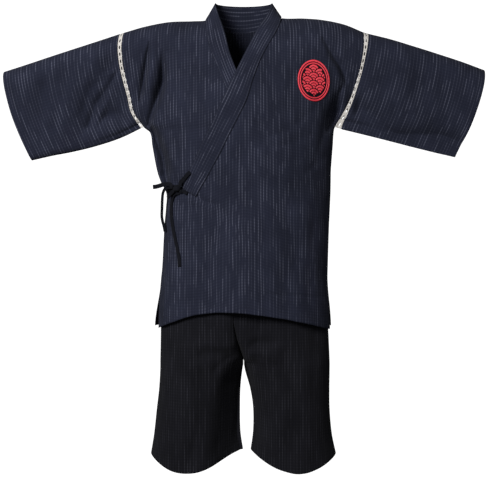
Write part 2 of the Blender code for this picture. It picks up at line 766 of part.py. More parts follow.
def crotch_share(z):
    """1 where the two legs are one trunk, falling to 0 at the crotch, as the rise seam curves under."""
    return math.sqrt(1 - clamp((RISE_Z - z) / (RISE_Z - CROTCH_Z)) ** 2)


def shorts_place(side, face):
    """The placing function of half a leg and half the trunk above it."""
    inner = leg_line["left_in" if side == LEFT else "right_in"]
    outer = leg_line["left_out" if side == LEFT else "right_out"]
    deep = leg_line["front" if face == FRONT else "back"]
    zones = [Zone(5, RISE_Z), Zone(6, CROTCH_Z), Zone(1, CROTCH_Z - GUSSET), Zone(8, LEG_HEM_OUT)]
    rows = sum(zone.rows for zone in zones)

    def height(down):
        row, start = down * rows, WAIST_Z - CASING
        for i, zone in enumerate(zones):
            if row <= zone.rows or i == len(zones) - 1:
                t = row / zone.rows
                if i == 1:
                    t = math.sin(t * math.pi / 2)
                return blend(start, zone.to_z, t)
            row, start = row - zone.rows, zone.to_z

    def place(across, down):
        z = height(down)
        share = (1 - math.cos(math.pi * across)) / 2
        trunk = crotch_share(z)
        seam = inner(z) if face == FRONT or z < CROTCH_Z else 0
        clear = SEAM / 2 + (WALL + SEAM) * (1 - trunk) ** CROTCH_TURN
        inner_x = seam + side * clear if z >= CROTCH_Z else side * max(inner(z), clear)
        x = blend(inner_x, side * outer(z), share)
        legs = math.sqrt(max(1 - (2 * share - 1) ** 2, 0))
        outer_half = 1 if share < 0.5 else legs
        form = blend(math.sqrt(max(1 - share**2, 0)), outer_half, ease(TRUNK_LOW, LEGS_LOW, z))
        half = deep(z) * form * (blend(trunk, 1, legs ** (1 + trunk)) if share < 0.5 else 1)
        calm = min(1, 3 * legs) * ease(RISE_Z + FOLD_FADE, RISE_Z - FOLD_FADE, z)
        half = max(half - calm * trough(SHORTS_FOLDS, face, x, z), 0)
        low = ease(CROTCH_Z, LEG_HEM_OUT, z)
        in_rise = (LEG_HEM_IN - LEG_HEM_OUT) * (1 - share)
        z += low * (in_rise - LEG_HEM_DIP[face] * math.sin(math.pi * share ** LEG_HEM_SKEW[side]))
        return Vector((x, face * (half + SEAM / 2), z))

    return place, rows


def leg_axis(side):
    return lambda point: Vector((side * LEG_MIDDLE * MM, 0, point.z))


SHORTS_COLUMNS, LEG_MIDDLE = 9, 95


def build_shorts():
    for side, side_name in ((LEFT, "left"), (RIGHT, "right")):
        for face, face_name in ((FRONT, "front"), (BACK, "back")):
            place, rows = shorts_place(side, face)
            name = f"shorts_{side_name}_{face_name}"
            cloth(name, SHORTS_COLUMNS, rows, place, DARK, inside=leg_axis(side))


def casing_place(around, down):
    """The waist casing, drawn up by its elastic into even gathers."""
    turn = 2 * math.pi * around
    z = blend(WAIST_Z, WAIST_Z - CASING + PLY, down)
    ripple = GATHER * math.sin(WAIST_GATHERS * turn) * (1 - GATHER_CALM * down)
    half = leg_line["right_out"](WAIST_Z - CASING) - CASING_IN + ripple
    face = leg_line["front" if math.sin(turn) < 0 else "back"](WAIST_Z - CASING) + ripple
    return Vector((half * math.cos(turn), face * math.sin(turn), z))


def build_casing():
    cloth("shorts_waistband", 4 * WAIST_GATHERS, 2, casing_place, DARK, closed=True)


# ---- Ties and roundel ----------------------------------------------------------------------------


def knot_frame():
    """The knot's middle, and the ways off the cloth, across it and up it."""
    base = over_point(KNOT_X, KNOT_Z, WALL)
    off = (over_point(KNOT_X, KNOT_Z, WALL + 1) - base).normalized()
    across = Vector((-off.y, off.x, 0)).normalized()
    return base + off * (KNOT_THICK / 2 + SEAM), off, across, off.cross(across)


def knot_radial(turn):
    """The way out from the knot's middle, at an angle round it in degrees."""
    _, _, across, up = knot_frame()
    return across * math.cos(math.radians(turn)) + up * math.sin(math.radians(turn))


def knot_edge(turn, level):
    """A place just clear of the knot, at an angle round it from across and a level off its middle."""
    middle, off, _, _ = knot_frame()
    cos, sin = math.cos(math.radians(turn)), math.sin(math.radians(turn))
    nearest = max(level, 0) - min(level + STRAP_WALL, 0)  # from the knot's middle to the strap's wall
    shrink = math.sqrt(1 - clamp(nearest / (KNOT_THICK / 2), 0, 0.95) ** 2)
    radius = shrink / math.hypot(cos / (KNOT_WIDE / 2), sin / (KNOT_TALL / 2)) + KNOT_CLEAR
    return middle + knot_radial(turn) * radius + off * level


def build_strap(name, width, points, sides, inside=body_axis):
    """A flat strap, 2 quads wide, with its edges along the sides' ways."""
    last = len(points) - 1

    def place(across, along):
        i = round(along * last)
        return points[i] + sides[i] * width * (across - 0.5)

    cloth(name, 2, last, place, DARK, STRAP_WALL, inside)


def stop_place(on, stop):
    """A stop's place, and the way off the cloth there."""
    if on == "air":
        return Vector(stop), AWAY
    point_on = over_point if on == "over" else lambda x, z, out: body_point(x, z, FRONT, out)
    here = point_on(stop.x, stop.z, WALL + stop.out)
    return here, (point_on(stop.x, stop.z, WALL + stop.out + 1) - here).normalized()


def build_ties():
    _, off, _, _ = knot_frame()
    for tie in STRAPS:
        start, radial = knot_edge(tie.turn, tie.level), knot_radial(tie.turn)
        places = [(start, off), (start + radial * KNOT_STUB, off)]
        places += [stop_place(tie.on, stop) for stop in tie.stops]
        points = [here for here, _ in places]
        sides = []
        for i, (_, away) in enumerate(places):
            way = points[min(i + 1, len(points) - 1)] - points[max(i - 1, 0)]
            sides.append(way.cross(away).normalized())
        build_strap(tie.name, tie.width, points, sides)
    radial = knot_radial(LOOP_TURN)
    loop = []
    for i in range(LOOP_STEPS + 1):
        turn = math.pi * i / LOOP_STEPS
        level = LOOP_LEVEL - LOOP_OPEN / 2 * math.cos(turn) * (1 + math.sin(turn))
        place = knot_edge(LOOP_TURN, level) + radial * LOOP_LONG * math.sin(turn)
        loop.append(place - Vector((0, 0, LOOP_DROOP * math.sin(turn) ** 2)))
    heart = sum(loop, Vector()) / len(loop)
    build_strap("tie_loop", LOOP_WIDTH, loop, [radial.cross(off)] * len(loop), lambda point: heart * MM)
    build_knot()


def build_knot():
    """The bow's knot, a soft block that lies on the over front."""
    bm = bmesh.new()
    bmesh.ops.create_cube(bm, size=1)
    mesh = bpy.data.meshes.new("tie_knot")
    bm.to_mesh(mesh)
    bm.free()
    knot = bpy.data.objects.new("tie_knot", mesh)
    mesh.materials.append(finish_material("tie_knot", DARK))
    soft = knot.modifiers.new("Soft", "SUBSURF")
    soft.levels = soft.render_levels = 2
    middle, off, across, up = knot_frame()
    knot.location = middle * MM
    knot.rotation_euler = Matrix((across, up, off)).transposed().to_euler()
    knot.scale = Vector((KNOT_WIDE, KNOT_TALL, KNOT_THICK)) * MM / SMOOTHED_CUBE
    bpy.data.collections[COLLECTION].objects.link(knot)


def build_roundel():
    def inside(point):
        return Vector((point.x, 0, point.z))

    def place(around, out):
        turn = 2 * math.pi * around
        x = ROUNDEL_X + ROUNDEL_RADIUS * out * ROUNDEL_TURN * math.cos(turn)
        z = ROUNDEL_Z + ROUNDEL_RADIUS * out * math.sin(turn)
        return over_point(x, z, WALL + ROUNDEL_LIFT)

    cloth("roundel", ROUNDEL_COLUMNS, ROUNDEL_RINGS, place, RED, ROUNDEL_WALL, inside, closed=True)


# ---- The set -------------------------------------------------------------------------------------

COLLECTION = "jinbei_set"


def main():
    for old in list(bpy.data.objects):
        bpy.data.objects.remove(old)
    bpy.context.scene.collection.children.link(bpy.data.collections.new(COLLECTION))
    build_body()
    build_collar()
    for side, name in ((LEFT, "left"), (RIGHT, "right")):
        build_sleeve(side, name)
        build_lace(side, FRONT, f"lace_{name}_front")
        build_lace(side, BACK, f"lace_{name}_back")
    build_shorts()
    build_casing()
    build_ties()
    build_roundel()


main()
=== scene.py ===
"""Looks of the jinbei set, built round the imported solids.

The sizes and the garment's form are those of the part's own source, in millimetres. Every piece of cloth is
laid finely on that form with its main creases, and its pattern follows lengths measured along the cloth.
"""

import math
from collections import namedtuple

import bmesh
import bpy
import numpy as np
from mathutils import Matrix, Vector

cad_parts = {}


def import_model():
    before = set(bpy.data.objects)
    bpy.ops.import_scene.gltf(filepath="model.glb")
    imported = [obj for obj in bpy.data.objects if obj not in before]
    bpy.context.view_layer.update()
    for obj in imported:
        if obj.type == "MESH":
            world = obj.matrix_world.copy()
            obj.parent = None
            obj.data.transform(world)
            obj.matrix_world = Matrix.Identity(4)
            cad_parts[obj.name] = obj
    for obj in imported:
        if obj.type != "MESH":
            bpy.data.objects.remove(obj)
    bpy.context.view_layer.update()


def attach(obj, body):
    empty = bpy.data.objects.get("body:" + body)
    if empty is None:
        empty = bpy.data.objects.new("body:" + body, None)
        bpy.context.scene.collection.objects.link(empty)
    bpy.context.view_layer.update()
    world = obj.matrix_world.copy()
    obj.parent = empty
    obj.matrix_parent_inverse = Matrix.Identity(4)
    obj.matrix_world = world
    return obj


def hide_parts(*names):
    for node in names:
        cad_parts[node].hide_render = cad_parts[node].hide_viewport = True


MM = 0.001
FRONT, BACK = -1, 1  # the side of the wearer, as the sign of y
RIGHT, LEFT = -1, 1  # the wearer's own right and left, as the sign of x
FACE_NAMES, SIDE_NAMES = {FRONT: "front", BACK: "back"}, {RIGHT: "right", LEFT: "left"}


def named(kind, table):
    """A table's rows, with names for their columns."""
    return [kind(*row) for row in table]


def folds_on(face, table):
    """A table's folds, all on one side of the wearer."""
    return [Fold(face, *row) for row in table]


# Cloth and layers
WALL = 1.2  # cotton with its seam allowance
SEAM = 0.3  # between two sewn pieces
PLY = 0.8  # between two pieces that lie on each other
BAND_WALL = 1.8  # the collar is folded cloth
BAND_LIFT = WALL + PLY  # the collar lies on its panel
WRAP_LIFT = BAND_LIFT + BAND_WALL + PLY  # the over front lies on the under front and its collar
WRAP_START, WRAP_FADE = 4, 60  # past the under collar, the over front comes down to the body over this width
UNDER_STRIP = 14  # below its collar, the under front's edge stands off the over front this far in

# Shoulders, armholes and arms
ROLL = 60  # height over which cloth rounds over the shoulder
SHOULDER_Z = -25  # the shoulder line's outer end
ARMPIT_Z = -233
ARM_RADIUS = 50  # cloth over the arm, from the arm's middle
UNDERARM, UNDERARM_POWER = 10, 0.9  # half the thickness at the lower fold, and how it thins to that
ARM_ROUND = 0.25  # share of the sleeve's height that rounds over the arm
FOLD_ROUND = 0.06  # share that rounds at its lower fold
# A section is an ellipse at the waist, and on the chest it falls off towards the arms
WAIST_POWER, CHEST_POWER = 0.5, 1.05
CHEST_LOW, CHEST_HIGH = -20, 110  # the one section turns to the other between these heights over the armpit
LACE_WIDTHS = {LEFT: (11, 5.2, 12.5), RIGHT: (9, 6.5, 5)}  # at the shoulder, halfway and at the armpit
LACE_MOTIFS = 14  # openings in each front or back length of lace
EYE_WIDE, EYE_LONG = 2.8, 8.6  # one opening

# Neck and collar
NECK_HALF, NECK_DEEP = 82, 62  # the neck seam from above: half its width, and how far back it goes
STAND_HALF, STAND_DEEP, STAND_Z = 62, 50, 41  # the collar's free edge at the sides and back of the neck
STAND_RISE = 3  # how much higher it stands at the back
NECK_LAP, LAP_LIFT = 5, 0.8  # how far its seam edge lies down over the back panel, and how far off

# Slits and hems
SLIT_Z = -578
SLIT_FLARE = {RIGHT: 9, LEFT: 4}  # how far the back's hem corner stands out past the front's
SLIT_PART = 6  # how far front and back part at the hem, each
HEM_HALF = 188  # half the hem's width
UNDER_SHORTER = 7  # the under front hangs this much higher

# Shorts
WAIST_Z, CASING = -428, 26
CROTCH_Z, RISE_Z = -744, -600  # the crotch point, and where the front starts to curve under to it
WAIST_GATHERS, GATHER, GATHER_CALM = 16, 1.6, 0.6  # the gathers calm down towards the seam
CASING_IN = 1  # the casing is drawn in this far
GUSSET = 10  # the legs part fully over this height below the crotch
CROTCH_TURN = 0.4  # how early the walls beside the rise seam start to turn towards each other
TRUNK_LOW, LEGS_LOW = -655, -765  # the trunk's section turns to the legs' sections between these heights
FOLD_FADE = 60  # the legs' folds fade in over this height, above and below where the rise curves under

Level = namedtuple("Level", "z right left front back")  # edges and depths, each as a distance from the middle
BODY = named(Level, [
    (0, 261, 261, 50, 60), (-25, 261, 261, 60, 70), (-60, 264, 259.5, 73, 84), (-95, 262, 254.5, 84, 94),
    (-130, 255.5, 246.5, 92, 100), (-165, 247, 234, 98, 102), (-200, 239, 218, 102, 102),
    (-231, 219, 200, 104, 101), (-243, 205, 197, 104, 100), (-272, 200, 195, 104, 98),
    (-325, 190, 191, 101, 93), (-350, 182, 190.5, 99, 90), (-377, 169, 190, 97, 88),
    (-410, 170, 188.5, 97, 88), (-451, 173.5, 186.5, 100, 92), (-537, 178, 183.5, 104, 100),
    (-568, 181, 183, 105, 103), (-618, 184.6, 186.5, 107, 106), (-672, 186, 188, 109, 108),
])
Ridge = namedtuple("Ridge", "x z")  # the shoulder line; its middle is cut away by the neck
SHOULDERS = named(Ridge, [
    (-261, -25), (-216, -12), (-163, -2), (-110, 0), (-82, 2), (-40, 18), (0, 30), (40, 22), (82, 7),
    (130, 6), (170, 3), (219, -7), (261, -24),
])
Hem = namedtuple("Hem", "x front back")
JACKET_HEM = named(Hem, [
    (-188, -673, -668), (-150, -656, -666), (-98, -638, -664), (-21, -633, -662), (53, -642, -663),
    (120, -655, -665), (188, -674, -668),
])
# A front panel's inner edge, which lies under its collar and then hangs free
Edge = namedtuple("Edge", "z x")
OVER_EDGE = named(Edge, [
    (5, 84), (-14, 77), (-38, 64), (-65, 45), (-100, 25), (-144, 3), (-192, -20), (-255, -55),
    (-308, -85), (-350, -112), (-366, -124), (-392, -146), (-440, -156), (-540, -165), (-660, -172),
])
UNDER_EDGE = named(Edge, [
    (0, -81.5), (-30, -78), (-63, -71), (-98, -55), (-133, -40), (-164, -26), (-213, -1), (-262, 24),
    (-308, 53), (-348, 82), (-366, 97), (-400, 110), (-460, 116), (-640, 120),
])
# The collar on the chest, from its end up to the neck
Band = namedtuple("Band", "seam_x seam_z free_x free_z")
OVER_BAND = named(Band, [
    (-101, -390, -126, -365), (-78, -350, -112, -330), (-54, -308, -93, -287), (-27.5, -255, -69, -236),
    (3.5, -192, -38, -170), (19, -144, -18, -127), (35, -99, 1, -88), (52, -65, 17, -52),
    (67.5, -38, 30, -26), (78, -14, 45, -2),
])
UNDER_BAND = named(Band, [
    (76, -386, 110, -366), (56, -348, 94, -332), (34, -308, 73, -292), (10, -262, 50, -249),
    (-14, -213, 26, -200), (-35.5, -164, 0, -152), (-48, -133, -16, -118), (-62, -98, -30, -80),
    (-75, -63, -38, -46), (-80, -30, -48, -10),
])
# The collar where it rises from the chest to the side of the neck
Rise = namedtuple("Rise", "seam_x seam_away free_x free_y free_z")
RISE_LEFT = named(Rise, [(80.5, 30, 51, -34, 10), (81.5, 19, 57, -24, 24), (82, 9, 61, -11, 35)])
RISE_RIGHT = named(Rise, [(-81.5, 37, -52, -39, 1), (-82, 24, -56, -28, 15), (-82, 11, -60.5, -13, 31)])
# The sleeve's upper and lower fold, from the armhole to the cuff
Station = namedtuple("Station", "top_x top_z low_x low_z")
SLEEVES = {
    RIGHT: named(Station, [
        (275, -30, 226, -235), (322, -45, 272, -256), (375, -62, 325, -273),
        (427, -79, 375, -285), (478, -96, 422, -294), (524, -111, 466, -304),
    ]),
    LEFT: named(Station, [
        (275, -25, 216, -231), (322, -38, 268, -246), (375, -55, 322, -261),
        (427, -72, 373, -275), (478, -89, 421, -287), (526, -107, 465, -297),
    ]),
}
END_CLEAR, END_TOP, END_LOW = 0.8, -330, -390  # the collar's end stands off more, where the waist is drawn in
RISE_CLEAR = 0.4  # the collar stands this much further off where it turns from the chest to the neck
SLEEVE_BOW, CUFF_BOW = 12, 0.85  # how far the armhole bows out between its ends, and the cuff's share of it
SLEEVE_EVEN = 0.35  # how far the points round the sleeve move from even turns to even heights
# The line inside the sleeve that its wall faces away from, and such a point for the lace
ARM_X, ARM_LONG, ARM_Z, ARM_END_Z = 275, 250, -75, -165
LACE_X, LACE_Z = 250, -120
# Above the crotch, the inner edge is the rise seam
Leg = namedtuple("Leg", "z right_in right_out left_in left_out front back")
LEGS = named(Leg, [
    (-454, -4, 150, -4, 150, 80, 74), (-490, -7, 164, -7, 166, 85, 80),
    (-540, -11, 174, -11, 178, 88, 87), (-590, -16, 180.7, -16, 182.3, 91, 92),
    (-620, -19, 181.6, -19, 184, 93, 94), (-655, -21, 181.2, -21, 184.3, 94, 95),
    (-695, -14, 181.4, -14, 186, 93, 95), (-744, 0, 182.2, 0, 188, 91, 93),
    (-766, 4, 182.5, 4, 188, 90, 92), (-806, 8, 185, 15, 187.5, 90, 91),
    (-850, 9, 190, 21.5, 188, 89, 90), (-905, 8, 196, 21.5, 193, 88, 89), (-948, 2, 203, 16, 202, 87, 88),
])
LEG_HEM_IN, LEG_HEM_OUT = -939, -946
LEG_HEM_DIP = {FRONT: 34, BACK: 8}
LEG_HEM_SKEW = {LEFT: 1.05, RIGHT: 1.35}  # how far the lowest place lies to the outer side of the leg

# Largest folds: a soft trough between two points of the front or back view
Fold = namedtuple("Fold", "face x0 z0 x1 z1 width depth")
JACKET_FOLDS = folds_on(FRONT, [
    (-203, -48, -234, -150, 13, 5), (-178, -62, -180, -128, 15, 6), (-181, -132, -205, -215, 15, 6),
    (206, -88, 234, -145, 14, 5), (196, -190, 178, -262, 15, 4), (-150, -285, -138, -348, 13, 4),
    (-108, -398, -20, -452, 14, 4), (-60, -470, -66, -610, 22, 5), (88, -440, 96, -630, 24, 5),
    (-300, -110, -343, -190, 17, 6), (-345, -192, -350, -262, 17, 5), (262, -185, 300, -232, 15, 5),
    (380, -120, 420, -240, 18, 4),
]) + folds_on(BACK, [
    (-165, -60, -150, -250, 20, 6), (165, -60, 148, -260, 20, 6), (-60, -330, 20, -380, 18, 4),
    (-80, -430, -86, -640, 24, 4), (82, -420, 90, -640, 24, 4), (-310, -110, -360, -230, 18, 6),
    (310, -110, 350, -230, 18, 6),
])
SHORTS_FOLDS = folds_on(FRONT, [
    (-18, -712, -84, -728, 12, 6), (6, -716, 48, -700, 11, 6), (-88, -760, -112, -930, 20, 7),
    (100, -740, 96, -930, 20, 7), (-40, -800, -60, -900, 15, 4),
]) + folds_on(BACK, [
    (-95, -690, -105, -930, 22, 7), (95, -690, 105, -930, 22, 7),
])

# Ties at the wearer's right waist: each strap leaves the knot and runs over its stops
KNOT_X, KNOT_Z = -136.5, -365
KNOT_WIDE, KNOT_THICK, KNOT_TALL = 18, 13, 15
KNOT_CLEAR, KNOT_STUB = 0.7, 3  # from the knot to a strap's end, and how far the strap then runs straight out
STRAP_WALL = 1.6
AWAY = (-0.31, -0.95, 0)  # straight off the cloth beside the knot
# The turn is in degrees round the knot, and the level is off its middle. A stop over cloth is x, z and how
# far off the cloth, and a stop in the air is x, y and z.
Strap = namedtuple("Strap", "name width turn level on stops")
STRAPS = [
    Strap("tie_strap_front", 8, 42, -2, "over", [
        (-130, -354, 3), (-123, -347, 3.9), (-116, -340, 4), (-110, -334.5, 3.5),
    ]),
    Strap("tie_strap_side", 7, 176, -5.6, "under", [
        (-154, -368, 3.6), (-159, -370, 2.4), (-163.5, -371.5, 1.4),
    ]),
    Strap("tie_end_short", 7, -38, 0.6, "over", [
        (-125.5, -374.5, 4), (-121, -378, 3.2), (-116.5, -381.5, 2.9),
    ]),
    Strap("tie_end_long", 8, -86, -2.8, "over", [
        (-143, -380, 4), (-148, -392, 2.2), (-150.5, -407, 1.4), (-151, -426, 1.1), (-149, -446, 1),
        (-145.5, -464, 1), (-141, -482, 0.9), (-137, -500, 0.8), (-134, -518, 0.7), (-133, -537, 0.5),
    ]),
    Strap("tie_end_side", 9, 156, 2, "air", [
        (-157, -58, -361), (-165, -52.5, -359.5), (-174, -47.5, -360.5), (-183, -43.5, -363),
        (-190, -41.5, -364.5), (-196, -40, -365),
    ]),
    Strap("tie_end_thin", 6, 180, -3.2, "air", [
        (-157.5, -53, -366.5), (-165, -47, -367), (-171, -41.5, -370.5), (-175, -36, -380),
        (-176.5, -33.5, -395), (-177, -32, -411), (-177.5, -31, -427), (-176, -31, -438),
        (-173, -32, -449), (-170.5, -33, -461),
    ]),
]
LOOP_WIDTH, LOOP_LONG, LOOP_OPEN, LOOP_DROOP = 7, 22, 2.6, 3
LOOP_TURN, LOOP_LEVEL, LOOP_STEPS = 213, 2.6, 9

# Roundel on the wearer's left chest
ROUNDEL_X, ROUNDEL_Z, ROUNDEL_RADIUS = 149.5, -138.5, 45
ROUNDEL_TURN = 0.78  # its width across the front over its width along the cloth, which turns away there
ROUNDEL_LIFT = 0.6  # how far it lies off the panel

# ---- Fine cloth ------------------------------------------------------------------------------------

SHEET_WALL = 0.9  # the cloth itself
BAND_FINE_WALL, STRAP_FINE_WALL, KNOT_FINE_WALL, ROUNDEL_FINE_WALL, STITCH_WALL = 0.9, 1.2, 0.5, 0.4, 0.35
WELD = 0.00002  # points this close, in metres, become one
FAR = 1000  # further in from a hem than any hem is wide
HAIR, SPECK = 0.01, 1e-6  # a length and a share that don't count
STEEPEST, ARC_STEPS = 6, 24  # for lengths along the cloth: the steepest slope, and the steps they add up
SEARCH_DEEP, SEARCH_STEPS = 100, 30  # a height is looked for this far below the ridge, in this many halvings
HEIGHT_TURNS = 3  # how often a front panel's heights are corrected by its widths
EDGE_KEEP, SLIT_KEEP = 6, 8  # how closely those keep to the top and hem, and the slits to their edges
# Creases run out softly towards a side seam, and less so where it ends in the armhole
CREASE_RISE, ARMHOLE_CREASED, ARMHOLE_RISE, SHORTS_CREASE_RISE = 4, 0.25, 60, 3
Zone = namedtuple("Zone", "rows to_z")  # rows of the panels, evenly spaced down to a height
ZONES = [Zone(5, SHOULDER_Z - ROLL), Zone(6, -231), Zone(1, -243), Zone(5, -377), Zone(10, -672)]
SHORTS_ZONES = [Zone(5, RISE_Z), Zone(6, CROTCH_Z), Zone(1, CROTCH_Z - GUSSET), Zone(8, LEG_HEM_OUT)]
SIDE_COLUMNS, NECK_COLUMNS = 8, 8
BACK_COLUMNS = 2 * SIDE_COLUMNS + NECK_COLUMNS
BACK_FINE_COLUMNS, UNDER_FINE_COLUMNS, OVER_FINE_COLUMNS, BODY_FINE_ROWS = 144, 98, 112, 189
COLLAR_FINE_COLUMNS, COLLAR_FINE_STEPS, BAND_WIDE, BAND_PUFF = 12, 6, 45, 0.4
SEAM_DOWN, SEAM_FADE = 1.15, 0.3  # how far the collar's seam edge lies down, and over what share of its width
SLEEVE_FINE_COLUMNS, SLEEVE_FINE_ROWS = 156, 80
SLEEVE_LONG, SLEEVE_SHIFT = 245, 1000  # its length along the cloth, and where its stripes start
SLEEVE_DROP = 0.3  # how far the sleeve drops for each step out from the body
LACE_KEEP = 3  # how closely the sleeve's start keeps to the lace
ARMHOLE_END = 2  # how far over the armpit the armhole ends
ARMHOLE_NEAR = 3  # how far in from the armhole's edge the way out through the wall is taken
LACE_FINE_COLUMNS, LACE_FINE_ROWS, LACE_LONG, LACE_CORD = 22, 336, 212, 0.3
PIN_AT, PIN_RADIUS = 0.27, 0.6  # the small rounds: their place, as a share of the width, and their radius
CLOSING, CLOSING_FROM = 26, 0.94  # within the body the sleeve's thickness runs out softly under the arm
SHORTS_FINE_COLUMNS, SHORTS_FINE_ROWS, LEG_MIDDLE = 72, 140, 95
CROTCH_NARROW, CROTCH_SOFT = 3, 25  # how closely the crotch's saddle keeps to the seam, and its soft end
SEAM_SHUT = 0.02  # how far front and back run past the middle plane, so that the side seams are shut
CASING_FINE_COLUMNS, CASING_FINE_ROWS = 256, 8
STRAP_FINE_STEPS, STRAP_FINE_COLUMNS, STRAP_HOLLOW = 5, 6, 0.3
KNOT_FINE, KNOT_SQUARE, KNOT_INSET, KNOT_EDGE = 40, 0.8, 0.88, 0.95
KNOT_RIDGE, KNOT_TURNS, KNOT_SLANT = 0.09, 3, 1.2  # the strap wound round it: its ridges, turns and slant
ROUNDEL_FINE_COLUMNS, ROUNDEL_FINE_ROWS, RING_STEPS = 72, 14, 120
RINGS = [(42.6, 3.8), (37.4, 2.6)]  # radius and width of the stitched rings
WAVE_RADIUS, WAVE_ARCS, WAVE_WIDE, WAVE_EDGE = 17.5, (14.6, 8.9, 3.0), 4.6, 34.5
WAVE_ROWS, WAVE_STEPS, WAVE_SHORTEST, WAVE_PAST = 8, 64, 4, 0.15  # an arc is a half turn and so much past it
STITCH_COLUMNS, STITCH_HIGH, STITCH_SQUARE = 4, 0.45, 4

# Main creases: short soft troughs, or ridges where the depth is negative
JACKET_CREASES = folds_on(FRONT, [
    (-194, -76, -201, -150, 7, -4), (-156, -90, -160, -180, 10, -3), (196, -112, 214, -160, 8, -3),
    (176, -200, 160, -300, 8, 1.8), (205, -150, 190, -225, 7, 2.0), (150, -205, 60, -260, 9, 1.4),
    (130, -330, 185, -300, 9, 1.6), (-165, -300, -150, -352, 6, 2.4), (-178, -310, -160, -360, 5, -1.8),
    (-130, -372, -60, -400, 7, 2.0), (-120, -388, -40, -432, 6, -1.4), (-120, -356, -180, -345, 6, 1.8),
    (-104, -372, -72, -404, 8, 4), (54, -592, 174, -605, 4, 1.6), (-100, -420, -20, -470, 8, 1.5),
    (-150, -430, -152, -600, 10, 2.2), (-30, -500, -34, -630, 12, -1.6), (40, -450, 44, -635, 12, 2.0),
    (140, -420, 146, -640, 11, 2.0), (110, -560, 112, -650, 10, -1.6), (60, -280, 140, -262, 9, 1.3),
    (-300, -168, -318, -222, 8, -3), (-302, -212, -258, -218, 15, 8), (254, -180, 280, -232, 15, 11),
    (236, -222, 440, -284, 26, 28), (-322, -100, -372, -200, 9, -2.0), (-372, -120, -420, -230, 10, 1.8),
    (-300, -200, -330, -262, 7, 2.4), (-430, -130, -450, -280, 10, 1.5), (276, -190, 330, -262, 8, 2.4),
    (300, -110, 330, -200, 9, 1.8), (340, -140, 386, -230, 9, -1.8), (430, -140, 452, -270, 10, 1.6),
]) + folds_on(BACK, [
    (-200, -70, -205, -200, 8, 2.2), (200, -80, 204, -200, 8, 2.2), (-140, -120, -130, -280, 9, -1.6),
    (142, -110, 130, -270, 9, -1.6), (-120, -350, -20, -390, 8, 2.0), (120, -340, 30, -385, 8, 1.8),
    (0, -90, 2, -250, 12, 1.2), (-40, -460, -46, -650, 11, 2.0), (40, -440, 42, -650, 12, -1.6),
    (130, -450, 136, -650, 10, 1.8), (-140, -440, -144, -650, 10, 1.8), (-280, -110, -310, -210, 8, 2.2),
    (-380, -120, -420, -250, 10, 1.8), (282, -110, 310, -210, 8, 2.2), (380, -120, 420, -250, 10, 1.8),
])
SHORTS_CREASES = folds_on(FRONT, [
    (-16, -722, -60, -752, 7, 2.6), (-30, -700, -110, -706, 8, -1.8), (12, -724, 62, -742, 7, 2.4),
    (20, -700, 90, -690, 8, 1.6), (-60, -740, -66, -860, 9, 1.8), (-140, -680, -150, -900, 11, 2.0),
    (60, -760, 64, -900, 9, -1.8), (146, -690, 152, -910, 11, 2.0), (-165, -800, -150, -900, 9, -1.6),
    (120, -820, 128, -930, 8, 1.6),
]) + folds_on(BACK, [
    (-60, -720, -140, -740, 9, 2.2), (60, -720, 140, -742, 9, 2.2), (-50, -770, -56, -920, 10, 1.8),
    (50, -770, 58, -920, 10, 1.8), (-150, -700, -156, -920, 11, 2.0), (150, -700, 156, -920, 11, 2.0),
])
# A gather is one deep trough of the front, along a bent line of x, z and width. It is steep times deeper
# than it is wide.
Gather = namedtuple("Gather", "steep places")
JACKET_GATHERS = [
    Gather(2.2, [(-203, -50, 2), (-208, -80, 5), (-213, -112, 7), (-218, -140, 7), (-226, -178, 4)]),
    Gather(2.4, [
        (-175, -72, 2), (-175, -105, 6), (-175, -135, 9), (-182, -162, 10), (-193, -192, 9), (-207, -228, 6),
    ]),
    Gather(3.2, [(-199, -236, 5), (-188, -262, 10), (-177, -296, 12), (-170, -335, 12), (-166, -356, 7)]),
    Gather(1.2, [(172, -46, 4), (190, -75, 8), (208, -100, 8), (222, -135, 5)]),
    Gather(1.2, [(212, -150, 5), (204, -180, 11), (192, -215, 11), (184, -240, 6)]),
    Gather(1.2, [(-271, -112, 4), (-299, -156, 9), (-323, -186, 11), (-338, -231, 8)]),
]
SHORTS_GATHERS = [
    Gather(0.95, [(-14, -752, 8), (-22, -790, 25), (-24, -860, 34), (-26, -930, 38), (-28, -1000, 38)]),
    Gather(0.7, [(12, -760, 8), (15, -800, 15), (16, -925, 13)]),
    Gather(0.38, [(-6, -640, 16), (-5, -680, 24), (-4, -725, 22)]),
    Gather(0.5, [(26, -640, 18), (36, -690, 26), (22, -738, 18)]),
]
WAVER, WAVER_TURN = 0.5, 4.0  # how far a fold's line wanders, as a share of its width, and how fast
Rumple = namedtuple("Rumple", "along_x along_z length height start")
RUMPLES = named(Rumple, [
    (0.96, 0.28, 46, 0.35, 0.4), (0.8, -0.6, 71, 0.45, 2.1), (0.5, 0.87, 97, 0.4, 3.3),
    (0.99, -0.12, 29, 0.2, 5.0),
])

# ---- Colours, weave and stitching ------------------------------------------------------------------

